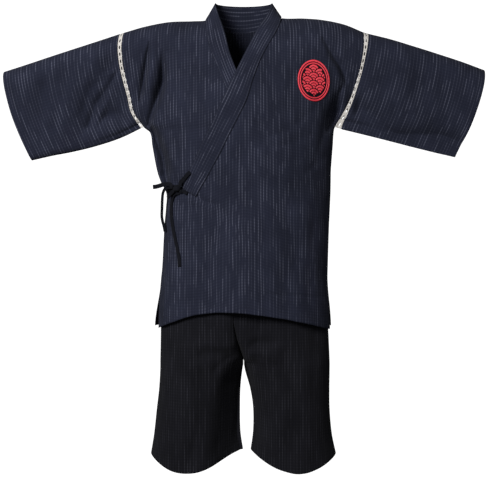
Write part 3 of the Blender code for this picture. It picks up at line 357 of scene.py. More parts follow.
# A cloth's ground, shaded threads and pale stripes, and how much of a stripe shows in its runs and between
Look = namedtuple("Look", "base seam stripe contrast faint", defaults=(None, None, 0, 0))
NAVY = Look((0.0096, 0.0108, 0.0190, 1), (0.003, 0.0035, 0.006, 1), (0.050, 0.053, 0.074, 1), 0.85, 0.24)
DARK = Look((0.0043, 0.0043, 0.0058, 1), (0.001, 0.001, 0.0015, 1), (0.0190, 0.0190, 0.0240, 1), 0.7, 0.45)
TAPE = Look((0.0010, 0.0012, 0.0024, 1), stripe=(0.0060, 0.0062, 0.0085, 1))
CREAM = Look((0.64, 0.61, 0.57, 1), (0.32, 0.30, 0.28, 1))
RED = Look((0.70, 0.042, 0.062, 1), (0.36, 0.015, 0.028, 1))
MATT, SATIN, SHEEN, SHEEN_ROUGHNESS = 0.95, 0.5, 0.01, 0.6
COTTON_GLOSS, LACE_GLOSS, SATIN_GLOSS = 0.04, 0.2, 0.3
# The broken stripes: pale lines of the warp, shown in runs that neighbouring lines share
STRIPE_PITCH, STRIPE_HALF, STRIPE_SOFT, STRIPE_STRAY = 6.5, 0.3, 1.0, 0.2
COMB_LONG, COMB_STEP, RAGGED_LONG, RAGGED_STEP, RAGGED = 50, 0.5, 36, 3.17, 0.62
GROUP_WIDE, GROUP_LONG, GROUPED = 48, 60, 0.22
SHOWN, RUN_END = 0.865, 0.045
FAINT_STEP, FAINT_LONG, FAINT_FROM, FAINT_TO, FAINTEST = 5.3, 70, 0.36, 0.70, 0.30
WEFT_PITCH, WARP_PITCH, CLOUD, CLOUD_DETAIL = 1.3, 1.1, 60, 2.0
RIB_PITCH, RIBBED, RIB_BREAK, CLOUDED, SPECKLED, DULL = 6.2, 0.14, 0.35, 0.5, 0.3, 0.58
WEAVE_HIGH, RIB_HIGH, STRIPE_HIGH = 0.06, 0.06, 0.05
JACKET_HEM_WIDE, SHORTS_HEM_WIDE, COLLAR_STITCH = 16, 14, 3.0
HEM_HIGH, HEM_STEP_OUT, HEM_STEP_IN = 0.5, 1.0, 0.5  # the turned hem's step, and how soft it is on each side
HEM_STITCH, LINE_HALF, LINE_FADE, STITCH_DEEP = 1.5, 0.3, 0.9, 0.25  # the stitched line inside that step
STITCH_PITCH, STITCH_FROM, STITCH_FULL = 3.4, 0.2, 0.5
SEAM_SHADE, THREAD_SHARE = 0.3, 0.1
# How much of the other finishes' unevenness is thread, and the patches that make up the rest
TAPE_WEFT, TAPE_PATCH = 0.35, (3, 9)
LACE_PITCH, LACE_RELIEF, LACE_THREADS, LACE_PATCH = 0.9, 0.25, 0.5, (4, 4)
THREAD_PITCH, THREAD_HIGH, THREAD_STRAY, SATIN_THREADS, SATIN_PATCH = 0.45, 0.12, 0.5, 0.6, (1.5, 0.7)

# ---- Stage and camera, in metres -------------------------------------------------------------------

CAMERA_AWAY, CAMERA_SENSOR = 2.4, 36
PICTURE_X, PICTURE_Z = 0.0007, -0.4807  # the middle of the picture
PICTURE_WIDE = 1.0736  # what the picture's width takes in, in the middle plane
CAMERA_LENS = CAMERA_SENSOR * CAMERA_AWAY / PICTURE_WIDE
STAGE_FLOOR, STAGE_TOP, STAGE_FRONT, STAGE_BACK, STAGE_HALF = -1.35, 6, -6, 5.5, 8
STAGE_CURVE, STAGE_STEPS = 1.0, 12
PAPER_GLOW, PAPER_SHADE, WORLD_STRENGTH, WORLD_COLOUR = 1.0, 0.2, 0.18, (0.95, 0.97, 1, 1)
Lamp = namedtuple("Lamp", "name watts size x y z")
LAMPS = [Lamp("key_light", 142, 0.9, -1.25, -2.35, 0.65), Lamp("fill_light", 11, 2.5, 1.8, -2.6, 0.0)]

# ---- Form ------------------------------------------------------------------------------------------


def blend(a, b, share):
    return a + (b - a) * share


def ease(low, high, value):
    """0 at low, 1 at high, and a smooth rise or fall between them."""
    t = np.clip((value - low) / (high - low), 0, 1)
    return t * t * (3 - 2 * t)


def circle(share):
    """A circle's height at a share of the way out from its middle, and 0 past its edge."""
    return np.sqrt(np.maximum(1 - share**2, 0))


def rounding(t, over):
    """A quarter circle that rises from 0 to 1 while t goes from 0 to over, and then stays 1."""
    return circle(1 - np.clip(t / over, 0, 1))


def spot(x, y, z):
    """Points, with their coordinates along the last axis."""
    return np.stack(np.broadcast_arrays(x, y, z), axis=-1).astype(float)


def unit(ways):
    return ways / np.maximum(np.linalg.norm(ways, axis=-1, keepdims=True), 1e-9)


class Line:
    """A smooth line through pairs of (at, value), level past both ends."""

    def __init__(self, pairs):
        pairs = sorted(pairs)
        ends = [pairs[0], *pairs, pairs[-1]]
        self.at = np.array([at for at, _ in pairs], float)
        self.value = np.array([value for _, value in pairs], float)
        self.slope = np.array([(b[1] - a[1]) / (b[0] - a[0]) for a, b in zip(ends, ends[2:])])

    def __call__(self, at):
        at = np.clip(at, self.at[0], self.at[-1])
        i = np.clip(np.searchsorted(self.at, at, side="right") - 1, 0, len(self.at) - 2)
        reach = self.at[i + 1] - self.at[i]
        t = (at - self.at[i]) / reach
        rest = 1 - t
        ends = self.value[i] * rest * rest * (1 + 2 * t) + self.value[i + 1] * t * t * (3 - 2 * t)
        return ends + reach * t * rest * (self.slope[i] * rest - self.slope[i + 1] * t)


def column(table, at, value):
    """The smooth line of one column of a table against another."""
    return Line([(getattr(row, at), getattr(row, value)) for row in table])


def by_row(table, value):
    """The smooth line of one column of a table against the row's number."""
    return Line([(i, getattr(row, value)) for i, row in enumerate(table)])


right_edge, left_edge = column(BODY, "z", "right"), column(BODY, "z", "left")
body_front, body_rear = column(BODY, "z", "front"), column(BODY, "z", "back")
ridge = column(SHOULDERS, "x", "z")
hem = {FRONT: column(JACKET_HEM, "x", "front"), BACK: column(JACKET_HEM, "x", "back")}
over_edge, under_edge = column(OVER_EDGE, "z", "x"), column(UNDER_EDGE, "z", "x")
under_free = column(UNDER_BAND, "free_z", "free_x")


def trough(folds, face, x, z):
    """How far the folds and creases take the cloth in at a place; a ridge takes it out."""
    total = np.zeros(np.broadcast(face, x, z).shape)
    for fold in folds:
        along_x, along_z = fold.x1 - fold.x0, fold.z1 - fold.z0
        long = math.hypot(along_x, along_z)
        t = ((x - fold.x0) * along_x + (z - fold.z0) * along_z) / long**2
        off = ((x - fold.x0) * along_z - (z - fold.z0) * along_x) / long
        off = off + fold.width * WAVER * np.sin(WAVER_TURN * t + fold.x0)
        past = np.maximum(np.maximum(-t, t - 1), 0) * long
        shape = np.exp(-((off / fold.width) ** 2) - (past / (2 * fold.width)) ** 2)
        total += np.where(np.equal(face, fold.face), fold.depth * shape, 0)
    return total


def gathered(gathers, face, x, z):
    """How far the gathers take the cloth in at a place."""
    total = np.zeros(np.broadcast(face, x, z).shape)
    for gather in gathers:
        deepest = np.zeros_like(total)
        for (x0, z0, wide0), (x1, z1, wide1) in zip(gather.places, gather.places[1:]):
            long = (x1 - x0) ** 2 + (z1 - z0) ** 2
            t = np.clip(((x - x0) * (x1 - x0) + (z - z0) * (z1 - z0)) / long, 0, 1)
            off = np.hypot(x - blend(x0, x1, t), z - blend(z0, z1, t))
            wide = blend(wide0, wide1, t)
            deepest = np.maximum(deepest, gather.steep * wide * np.exp(-((off / wide) ** 2)))
        total += np.where(np.equal(face, FRONT), deepest, 0)
    return total


def rumple(face, x, z):
    """The slight unevenness of worn cloth, as a few crossing waves."""
    total = 0
    for wave in RUMPLES:
        turn = 2 * math.pi * (x * wave.along_x + z * wave.along_z) / wave.length + wave.start * face
        total = total + wave.height * np.sin(turn)
    return total


def all_folds(folds, gathers, face, x, z):
    """How far the folds, gathers and rumples take the cloth in at a place."""
    return trough(folds, face, x, z) + gathered(gathers, face, x, z) + rumple(face, x, z)


def jacket_folds(face, x, z):
    return all_folds(JACKET_FOLDS + JACKET_CREASES, JACKET_GATHERS, face, x, z)


def sleeve_half(share):
    """Half the sleeve's thickness at a share of the way from its upper fold to its lower one."""
    width = blend(ARM_RADIUS, UNDERARM, np.clip(share, 0, 1) ** UNDERARM_POWER)
    return width * rounding(share, ARM_ROUND) * rounding(1 - share, FOLD_ROUND)


def body_across(z):
    """The middle of the body's section at a height, and half its width."""
    return (left_edge(z) - right_edge(z)) / 2, (left_edge(z) + right_edge(z)) / 2


def depth(x, z, face, creased=True):
    """How far the jacket's cloth is in front of the middle plane, or behind it."""
    middle, half = body_across(z)
    across = np.clip(np.abs(x - middle) / half, 0, 1)
    below = np.maximum(ridge(x) - z, 0)
    chest = ease(ARMPIT_Z + CHEST_LOW, ARMPIT_Z + CHEST_HIGH, z)
    share = (1 - across**2) ** blend(WAIST_POWER, CHEST_POWER, chest)
    full = np.where(np.equal(face, FRONT), body_front(z), body_rear(z)) * rounding(below, ROLL)
    down = np.clip(below / (SHOULDER_Z - ARMPIT_Z), 0, 1)
    closed = blend(ARM_RADIUS, UNDERARM, down**UNDERARM_POWER) * rounding(down, ARM_ROUND)
    closed = closed * ease(ARMPIT_Z - CLOSING, ARMPIT_Z + 2 * CLOSING, z)
    sleeve = blend(closed, sleeve_half(down), ease(CLOSING_FROM, 1, across))
    plain = share * full + (1 - share) * sleeve
    if not creased:
        return np.maximum(plain, 0)
    creased_there = CREASE_RISE * share + ARMHOLE_CREASED * ease(ARMPIT_Z, ARMPIT_Z + ARMHOLE_RISE, z)
    calm = rounding(below, ROLL) * np.minimum(1, creased_there)
    return np.maximum(plain - calm * jacket_folds(face, x, z), 0)


def body_point(x, z, face, lift=0.0):
    """A place on the jacket's form, lifted off it along its normal."""
    here = depth(x, z, face)
    step = 1.0
    slope_x = (depth(x + step, z, face) - depth(x - step, z, face)) / (2 * step)
    slope_z = (depth(x, z + step, face) - depth(x, z - step, face)) / (2 * step)
    normal = unit(spot(-slope_x, face, -slope_z))
    return spot(x, face * (here - SEAM_SHUT), z) + normal * np.expand_dims(np.asarray(lift, float), -1)


def wrap_lift(x, z):
    """How far the over front stands off the body, to clear the under front and its collar."""
    edge = np.where(z > UNDER_BAND[0].free_z, under_free(z), under_edge(z) + UNDER_STRIP)
    return WRAP_LIFT * (1 - ease(0, WRAP_FADE, x - edge - WRAP_START))


def over_point(x, z, out=0.0):
    """A place on the over front's inner face, moved out."""
    return body_point(x, z, FRONT, wrap_lift(x, z) + out)


def lengths(points, axis):
    """The running length along one axis of a grid of points, from its start."""
    steps = np.linalg.norm(np.diff(points, axis=axis), axis=-1)
    start = np.zeros_like(np.take(steps, [0], axis=axis))
    return np.concatenate([start, np.cumsum(steps, axis=axis)], axis=axis)


def across_length(x, z, face):
    """The length along the cloth from the middle plane out to x, which the stripes keep to."""
    total = np.zeros(np.broadcast(x, z).shape)
    for i in range(ARC_STEPS):
        at = x * (i + 0.5) / ARC_STEPS
        slope = (depth(at + 1, z, face, False) - depth(at - 1, z, face, False)) / 2
        total += np.hypot(1, np.clip(slope, -STEEPEST, STEEPEST)) * x / ARC_STEPS
    return total


def down_length(x, z, face):
    """The length along the cloth from the shoulder line down to z."""
    top = ridge(x)
    total = np.zeros(np.broadcast(x, z).shape)
    for i in range(ARC_STEPS):
        share = (i + 0.5) / ARC_STEPS
        at = top - (top - z) * share**2
        slope = depth(x, at + 0.5, face, False) - depth(x, at - 0.5, face, False)
        total += np.hypot(1, np.clip(slope, -STEEPEST, STEEPEST)) * 2 * share * (top - z) / ARC_STEPS
    return total


def grid_lengths(points):
    """The lengths across and down a grid of points, from its own edges."""
    return np.stack([lengths(points, 1), lengths(points, 0)], axis=-1)


# ---- Laying cloth ----------------------------------------------------------------------------------


def body_axis(points):
    return spot(0, 0, points[..., 2])


def shares(columns, rows):
    """Grids of the share across and the share down."""
    return np.meshgrid(np.linspace(0, 1, columns + 1), np.linspace(0, 1, rows + 1))


def zone_height(share, start, zones, bent, bend):
    """The height of a grid row, a share of the way down through zones of even rows; one zone's are bent."""
    row = share * sum(zone.rows for zone in zones)
    height = np.full(np.shape(share), float(start))
    for i, zone in enumerate(zones):
        t = np.clip(row / zone.rows, 0, 1)
        height = np.where(row > 0, blend(start, zone.to_z, bend(t) if i == bent else t), height)
        row, start = row - zone.rows, zone.to_z
    return height


def point_inside(place):
    """Gives the same place as the inside of every point."""
    return lambda points: place + 0 * points


def grid_faces(points, inside, keep):
    """The faces of a grid, turned away from the points that inside() gives."""
    rows, columns = points.shape[:2]
    index = np.arange(rows * columns).reshape(rows, columns)
    faces = np.stack([index[:-1, :-1], index[:-1, 1:], index[1:, 1:], index[1:, :-1]], axis=-1)
    faces = faces.reshape(-1, 4) if keep is None else faces[keep]
    corners = points.reshape(-1, 3)[faces]
    normals = np.cross(corners[:, 2] - corners[:, 0], corners[:, 3] - corners[:, 1])
    middles = corners.mean(axis=1)
    turned_in = np.sum(normals * (middles - inside(middles))) < 0
    return faces[:, ::-1] if turned_in else faces


def weld(mesh):
    """Makes one point of those that lie on each other, and drops points without a face."""
    welded = bmesh.new()
    welded.from_mesh(mesh)
    bmesh.ops.remove_doubles(welded, verts=welded.verts, dist=WELD)
    loose = [vert for vert in welded.verts if not vert.link_faces]
    bmesh.ops.delete(welded, geom=loose, context="VERTS")
    welded.to_mesh(mesh)
    welded.free()


def lay(name, points, cloth, finish, node, wall=SHEET_WALL, inside=body_axis, edge=None, keep=None):
    """A cloth piece on a grid of points in millimetres, thickened away from the points that inside() gives.

    The cloth grid holds the lengths across and along the cloth, and the edge grid the lengths along the
    nearest hem and in from it. Where keep is false, a face is left out.
    """
    faces = grid_faces(points, inside, keep)
    mesh = bpy.data.meshes.new(name)
    mesh.from_pydata((points.reshape(-1, 3) * MM).tolist(), [], faces.tolist())
    for layer, grid in (("Cloth", cloth), ("Edge", edge)):
        if grid is not None:
            places = (grid.reshape(-1, 2) * MM)[faces.reshape(-1)]
            mesh.uv_layers.new(name=layer).data.foreach_set("uv", places.reshape(-1).astype(np.float32))
    weld(mesh)
    mesh.materials.append(finish)
    mesh.shade_smooth()
    piece = bpy.data.objects.new(name, mesh)
    bpy.context.scene.collection.objects.link(piece)
    thicken = piece.modifiers.new("Wall", "SOLIDIFY")
    thicken.thickness = wall * MM
    thicken.offset = 1
    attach(piece, "root")
    if node:
        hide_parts(node)
    return piece


def hem_lengths(points, start_below, end_below):
    """Lengths along the nearest hemmed edge and in from it; each side edge is hemmed below a height."""
    down, over = lengths(points, 0), lengths(points, 1)
    along, away = over, down[-1:] - down
    for below, inwards in ((start_below, over), (end_below, over[:, -1:] - over)):
        inwards = np.where(points[..., 2] < below, inwards, FAR)
        along = np.where(inwards < away, down, along)
        away = np.minimum(inwards, away)
    return np.stack([along, away], axis=-1)


# ---- Jacket body -----------------------------------------------------------------------------------


def row_share(share):
    """The share of the panel's height that a row has come down, with close rows over the shoulder."""
    low = ZONES[-1].to_z
    z = zone_height(share, SHOULDER_Z, ZONES, 0, lambda t: 1 - np.cos(t * math.pi / 2))
    return (SHOULDER_Z - z) / (SHOULDER_Z - low)


def front_points(edge_x, top_z, outer, columns, shorter=0, lift=None):
    """A front panel, between its inner edge and its armhole and side seam."""
    across, down = shares(columns, BODY_FINE_ROWS)
    low = ZONES[-1].to_z
    inner_low = hem[FRONT](edge_x(low)) + shorter
    outer_low = hem[FRONT](outer * HEM_HALF)
    share = row_share(down)
    inner_z = blend(top_z, inner_low, share)
    line = blend(inner_z, blend(SHOULDER_Z, outer_low, share), across)
    middle, half = body_across(inner_z)
    start = np.arcsin(np.clip((edge_x(inner_z) - middle) / half, -1, 1))
    turn = np.sin(blend(start, outer * math.pi / 2, across))
    z = line
    for _ in range(HEIGHT_TURNS):  # the width depends on the height, which the shoulder and hem lines correct
        middle, half = body_across(z)
        x = middle + half * turn
        top = ridge(x) - blend(top_z, SHOULDER_Z, across)
        bottom = hem[FRONT](x) + shorter * (1 - across) - blend(inner_low, outer_low, across)
        z = line + top * (1 - share) ** EDGE_KEEP + bottom * share**EDGE_KEEP
    points = body_point(x, z, FRONT, lift(x, z) if lift else 0)
    points[..., 1] -= SLIT_PART * ease(SLIT_Z, low, z) * across**SLIT_KEEP
    return points, x, z


def back_points():
    """The back panel, with the neck cut out of its upper edge."""
    across, down = shares(BACK_FINE_COLUMNS, BODY_FINE_ROWS)
    low = ZONES[-1].to_z
    step = across * BACK_COLUMNS
    neck_turn = math.asin(NECK_HALF / BODY[0].left)
    first = blend(-math.pi / 2, -neck_turn, step / SIDE_COLUMNS)
    last = blend(math.pi / 2, neck_turn, (BACK_COLUMNS - step) / SIDE_COLUMNS)
    round_neck = blend(-math.pi / 2, math.pi / 2, np.clip((step - SIDE_COLUMNS) / NECK_COLUMNS, 0, 1))
    turn = np.arcsin(NECK_HALF * np.sin(round_neck) / BODY[0].left)
    turn = np.where(step < SIDE_COLUMNS, first, np.where(step > BACK_COLUMNS - SIDE_COLUMNS, last, turn))
    top_x = BODY[0].left * np.sin(turn)
    top_z = np.where(np.abs(top_x) < NECK_HALF - HAIR, neck_seam_z(top_x), ridge(top_x))
    z = blend(top_z, hem[BACK](top_x * HEM_HALF / BODY[0].left), row_share(down))
    middle, half = body_across(z)
    x = middle + half * np.sin(turn)
    flare = ease(SLIT_Z, low, z) * np.abs(np.sin(turn)) ** SLIT_KEEP
    out = np.where(turn > 0, SLIT_FLARE[LEFT], -SLIT_FLARE[RIGHT])
    return body_point(x, z, BACK) + spot(out, SLIT_PART, 0) * flare[..., None], x, z


def form_height(x, away, face):
    """The height at which the jacket's form is that far in front of the middle plane, or behind it."""
    low, high = ridge(x) - SEARCH_DEEP, ridge(x)
    for _ in range(SEARCH_STEPS):
        z = (low + high) / 2
        outside = depth(x, z, face) > away
        low, high = np.where(outside, z, low), np.where(outside, high, z)
    return low


def neck_seam_z(x):
    return form_height(x, NECK_DEEP * circle(x / NECK_HALF), BACK)


def make_panel(name, node, grid, face, hemmed, finish):
    """A panel on its grid of points; hemmed gives the heights below which its two side edges are hemmed."""
    points, x, z = grid
    cloth = np.stack([across_length(x, z, face), down_length(x, z, face)], axis=-1)
    return lay(name, points, cloth, finish, node, edge=hem_lengths(points, *hemmed))


def make_body(finish):
    under_grid = front_points(under_edge, ridge(-NECK_HALF), RIGHT, UNDER_FINE_COLUMNS, UNDER_SHORTER)
    over_grid = front_points(over_edge, ridge(NECK_HALF), LEFT, OVER_FINE_COLUMNS, lift=wrap_lift)
    under_hem, over_hem = ((band[0].seam_z, SLIT_Z) for band in (UNDER_BAND, OVER_BAND))
    back = make_panel("back_cloth", "jacket_back", back_points(), BACK, (SLIT_Z, SLIT_Z), finish)
    under = make_panel("under_cloth", "jacket_front_right", under_grid, FRONT, under_hem, finish)
    over = make_panel("over_cloth", "jacket_front_left", over_grid, FRONT, over_hem, finish)
    return back, under, over


# ---- Collar ----------------------------------------------------------------------------------------


def chest_rows(table, point_on, share):
    """Rows of the collar on one front, two to a row of its table, from its end up to the neck."""
    at = np.linspace(0, len(table) - 1, 2 * len(table) - 1)[:, None]
    seam_x, seam_z, free_x, free_z = (by_row(table, name)(at) for name in Band._fields)
    return point_on(blend(seam_x, free_x, share), blend(seam_z, free_z, share))


def neck_rows(share):
    """Rows of the standing collar, from the wearer's left side of the neck round the back to the right."""
    turn = np.linspace(math.pi / 2, -math.pi / 2, NECK_COLUMNS + 1)
    x = NECK_HALF * np.sin(turn)
    back = np.cos(turn)
    seam = body_point(x, neck_seam_z(x) - NECK_LAP * back, BACK, BAND_LIFT + LAP_LIFT * back)
    ends = [0, NECK_COLUMNS]
    seam[ends] = spot(x[ends], 0, ridge(x[ends]) + BAND_LIFT)
    free = spot(STAND_HALF * np.sin(turn), STAND_DEEP * back, STAND_Z + STAND_RISE * back)
    return blend(seam[:, None], free[:, None], share[..., None])


def rise_rows(table, share):
    """Rows of the collar where it leaves the chest and stands up beside the neck."""
    seam_x, seam_away = (np.array([rise[i] for rise in table]) for i in (0, 1))
    seam = body_point(seam_x, form_height(seam_x, seam_away, FRONT), FRONT, BAND_LIFT + RISE_CLEAR)
    free = np.array([rise[2:] for rise in table], float)
    return blend(seam[:, None], free[:, None], share[..., None])


def smooth_rows(rows, steps):
    """A grid with more rows, on smooth lines through the given ones: Catmull-Rom splines."""
    padded = np.concatenate([2 * rows[:1] - rows[1:2], rows, 2 * rows[-1:] - rows[-2:-1]])
    out = []
    for i in range(len(rows) - 1):
        before, a, b, after = padded[i : i + 4]
        for t in np.arange(steps) / steps:
            bend = (2 * before - 5 * a + 4 * b - after) * t**2 + (3 * a - before - 3 * b + after) * t**3
            out.append(a + ((b - before) * t + bend) / 2)
    return np.array([*out, rows[-1]])


def make_collar(finish):
    share = np.linspace(0, 1, COLLAR_FINE_COLUMNS + 1)[None]
    soft = BAND_PUFF * np.sin(math.pi * share) - SEAM_DOWN * ease(SEAM_FADE, 0, share)

    def on_over(x, z):
        end = END_CLEAR * ease(0, SEAM_FADE, share) * ease(END_TOP, END_LOW, z)
        return over_point(x, z, BAND_LIFT + end + soft)

    def on_under(x, z):
        return body_point(x, z, FRONT, BAND_LIFT + soft)

    over, under = chest_rows(OVER_BAND, on_over, share), chest_rows(UNDER_BAND, on_under, share)
    right_rise = rise_rows(RISE_RIGHT, share)[::-1]
    rows = [over, rise_rows(RISE_LEFT, share), neck_rows(share), right_rise, under[::-1]]
    points = smooth_rows(np.concatenate(rows), COLLAR_FINE_STEPS)
    middle = lengths(points, 0)[:, COLLAR_FINE_COLUMNS // 2]
    cloth = np.stack(np.broadcast_arrays(BAND_WIDE * share, middle[:, None]), axis=-1)
    across = lengths(points, 1)
    sides = np.minimum(across, across[:, -1:] - across)
    edge = np.stack(np.broadcast_arrays(middle[:, None], sides), axis=-1)
    return lay("collar_cloth", points, cloth, finish, "collar", BAND_FINE_WALL, edge=edge)


# ---- Sleeves and lace ------------------------------------------------------------------------------


def sleeve_out(side):
    """The way along the sleeve from the body."""
    return unit(spot(side, 0, -SLEEVE_DROP))


def armhole_point(side, face, share):
    """A place just outside the wall of the body's armhole edge, at a share of the way down to the armpit."""
    z = blend(ridge(side * BODY[0].left), ARMPIT_Z + ARMHOLE_END, share)
    edge = left_edge(z) if side == LEFT else -right_edge(z)
    near_edge = edge - side * ARMHOLE_NEAR
    wall_way = body_point(near_edge, z, face, 1) - body_point(near_edge, z, face)
    past = WALL * np.maximum(wall_way @ sleeve_out(side), 0)
    return body_point(edge, z, face) + sleeve_out(side) * (past + SEAM)[..., None]


def lace_width(side, share):
    """How wide the lace is at a share of the way down, on a smooth curve through its three widths."""
    top, middle, bottom = LACE_WIDTHS[side]
    return blend(top, bottom, share) + 4 * share * (1 - share) * (middle - (top + bottom) / 2)


def lace_edge(side, face, share, out):
    """A place on the lace, with out from 0 at the body's edge to 1 at the sleeve's."""
    reach = SEAM + lace_width(side, share) * out
    return armhole_point(side, face, share) + sleeve_out(side) * reach[..., None]


def sleeve_points(side):
    """A sleeve, a tube from the lace to the cuff, and the share along it."""
    around, along = shares(SLEEVE_FINE_COLUMNS, SLEEVE_FINE_ROWS)
    lines = [by_row(SLEEVES[side], name) for name in Station._fields]
    last = len(SLEEVES[side]) - 1
    turn = np.where(around <= 0.5, around * 2, (1 - around) * 2)
    share = blend((1 - np.cos(math.pi * turn)) / 2, turn, SLEEVE_EVEN)
    at_fold = (share < SPECK) | (share > 1 - SPECK)
    face = np.where((around <= 0.5) | at_fold, FRONT, BACK)

    def plain(at):
        top_x, top_z, low_x, low_z = (line(at * last) for line in lines)
        bow = SLEEVE_BOW * blend(1, CUFF_BOW, at) * np.sin(math.pi * share)
        x = side * (blend(top_x, low_x, share) + bow)
        z = blend(top_z, low_z, share)
        calm = rounding(share, ARM_ROUND) * rounding(1 - share, ARM_ROUND)
        folds = jacket_folds(face, x, z)
        return spot(x, face * np.maximum(sleeve_half(share) - calm * folds, 0), z)

    start = lace_edge(side, face, share, np.ones_like(share)) + sleeve_out(side) * 2 * SEAM
    start[..., 1] = np.where(at_fold, 0, start[..., 1])
    return plain(along) + (start - plain(0 * along)) * ((1 - along) ** LACE_KEEP)[..., None], along


def make_sleeve(side, finish):
    def inside(points):
        share = np.clip((np.abs(points[..., 0]) - ARM_X) / ARM_LONG, 0, 1)
        return spot(points[..., 0], 0, blend(ARM_Z, ARM_END_Z, share))

    points, along = sleeve_points(side)
    girth, long = lengths(points, 1), lengths(points, 0)
    cloth = np.stack([side * SLEEVE_LONG * along + SLEEVE_SHIFT, girth], axis=-1)
    edge = np.stack([girth, long[-1:] - long], axis=-1)
    node = f"sleeve_{SIDE_NAMES[side]}"
    return lay(f"{node}_cloth", points, cloth, finish, node, inside=inside, edge=edge)


def lace_holes(out, down, width):
    """Where the lace is open: a chain of ovals, with a pair of small rounds between each two."""
    cell = LACE_LONG / LACE_MOTIFS
    along = (down * LACE_MOTIFS) % 1 - 0.5
    oval = (out * 2 / EYE_WIDE) ** 2 + (along * cell * 2 / EYE_LONG) ** 2 < 1
    between = (np.abs(along) - 0.5) * cell
    pin = (np.abs(out) - width * PIN_AT) ** 2 + between**2 < PIN_RADIUS**2
    return oval | pin


def make_lace(side, face, finish):
    """A front or back length of lace, with a raised cord round its openings."""
    out, down = shares(LACE_FINE_COLUMNS, LACE_FINE_ROWS)
    width = lace_width(side, down)
    cord = LACE_CORD * np.sin(2 * math.pi * (out - 0.5)) ** 2 * np.cos(2 * math.pi * down * LACE_MOTIFS)
    points = lace_edge(side, face, down, out)
    points[..., 1] += face * cord
    middle_out, middle_down = ((grid[1:, 1:] + grid[:-1, :-1]) / 2 for grid in (out, down))
    middle_width = lace_width(side, middle_down)
    keep = ~lace_holes((middle_out - 0.5) * middle_width, middle_down, middle_width)
    cloth = np.stack([out * width, down * LACE_LONG], axis=-1)
    inside = point_inside(spot(side * LACE_X, 0, LACE_Z))
    node = f"lace_{SIDE_NAMES[side]}_{FACE_NAMES[face]}"
    return lay(f"{node}_cloth", points, cloth, finish, node, inside=inside, keep=keep)


# ---- Shorts ----------------------------------------------------------------------------------------

leg_line = {name: column(LEGS, "z", name) for name in Leg._fields if name != "z"}


def shorts_points(side, face, folded=1):
    """Half a leg and half the trunk above it."""
    inner, outer = (leg_line[f"{SIDE_NAMES[side]}_{edge}"] for edge in ("in", "out"))
    across, down = shares(SHORTS_FINE_COLUMNS, SHORTS_FINE_ROWS)
    z = zone_height(down, WAIST_Z - CASING, SHORTS_ZONES, 1, lambda t: np.sin(t * math.pi / 2))
    share = (1 - np.cos(math.pi * across)) / 2
    trunk = circle(np.clip((RISE_Z - z) / (RISE_Z - CROTCH_Z), 0, 1))
    seam = np.where((face == FRONT) | (z < CROTCH_Z), inner(z), 0)
    clear = SEAM / 2 + (WALL + SEAM) * (1 - trunk) ** CROTCH_TURN
    inner_x = np.where(z >= CROTCH_Z, seam + side * clear, side * np.maximum(inner(z), clear))
    x = blend(inner_x, side * outer(z), share)
    legs = circle(2 * share - 1)
    inner_half = share < 0.5
    form = blend(circle(share), np.where(inner_half, 1, legs), ease(TRUNK_LOW, LEGS_LOW, z))
    above = ease(CROTCH_Z - CROTCH_SOFT, CROTCH_Z + CROTCH_SOFT, z)
    drawn = blend(above, trunk, (1 - legs) ** CROTCH_NARROW)
    saddle = np.where(inner_half, blend(drawn, 1, legs ** (1 + drawn)), 1)
    free = np.where(inner_half, np.maximum(legs, trunk), legs)
    calm = np.minimum(1, SHORTS_CREASE_RISE * free) * ease(RISE_Z + FOLD_FADE, RISE_Z - FOLD_FADE, z)
    folds = all_folds(SHORTS_FOLDS + SHORTS_CREASES, SHORTS_GATHERS, face, x, z)
    half = np.maximum(leg_line[FACE_NAMES[face]](z) * form * saddle - folded * calm * folds, 0)
    in_rise = (LEG_HEM_IN - LEG_HEM_OUT) * (1 - share)
    dip = LEG_HEM_DIP[face] * np.sin(math.pi * share ** LEG_HEM_SKEW[side])
    z = z + ease(CROTCH_Z, LEG_HEM_OUT, z) * (in_rise - dip)
    return spot(x, face * (half - SEAM_SHUT), z)


def make_shorts(side, face, finish):
    """Half a leg; its stripes keep to the lengths out from the leg's middle, on the unfolded cloth."""
    points, plain = shorts_points(side, face), shorts_points(side, face, 0)
    over, down = lengths(plain, 1), lengths(plain, 0)
    middle = [np.interp(LEG_MIDDLE, x, run) for x, run in zip(side * plain[..., 0], over)]
    from_middle = over - np.array(middle)[:, None]
    cloth = np.stack([side * (LEG_MIDDLE + from_middle), -plain[..., 2]], axis=-1)
    hems = np.stack([over, down[-1:] - down], axis=-1)
    node = f"shorts_{SIDE_NAMES[side]}_{FACE_NAMES[face]}"
    return lay(f"{node}_cloth", points, cloth, finish, node, edge=hems)


def make_casing(finish):
    """The waist casing, drawn up by its elastic into even gathers."""
    around, down = shares(CASING_FINE_COLUMNS, CASING_FINE_ROWS)
    turn = 2 * math.pi * around
    top = WAIST_Z - CASING
    ripple = GATHER * np.sin(WAIST_GATHERS * turn) * (1 - GATHER_CALM * down)
    half = leg_line["right_out"](top) - CASING_IN + ripple
    deep = np.where(np.sin(turn) < 0, leg_line["front"](top), leg_line["back"](top)) + ripple
    points = spot(half * np.cos(turn), deep * np.sin(turn), blend(WAIST_Z, top + PLY, down))
    return lay("waistband_cloth", points, grid_lengths(points), finish, "shorts_waistband")


# ---- Ties ------------------------------------------------------------------------------------------


def knot_frame():
    """The knot's middle, and the ways off the cloth, across it and up it."""
    base = over_point(KNOT_X, KNOT_Z, WALL)
    off = unit(over_point(KNOT_X, KNOT_Z, WALL + 1) - base)
    across = unit(spot(-off[1], off[0], 0))
    return base + off * (KNOT_THICK / 2 + SEAM), off, across, np.cross(off, across)


def knot_radial(turn):
    """The way out from the knot's middle, at an angle round it in degrees."""
    _, _, across, up = knot_frame()
    return across * math.cos(math.radians(turn)) + up * math.sin(math.radians(turn))


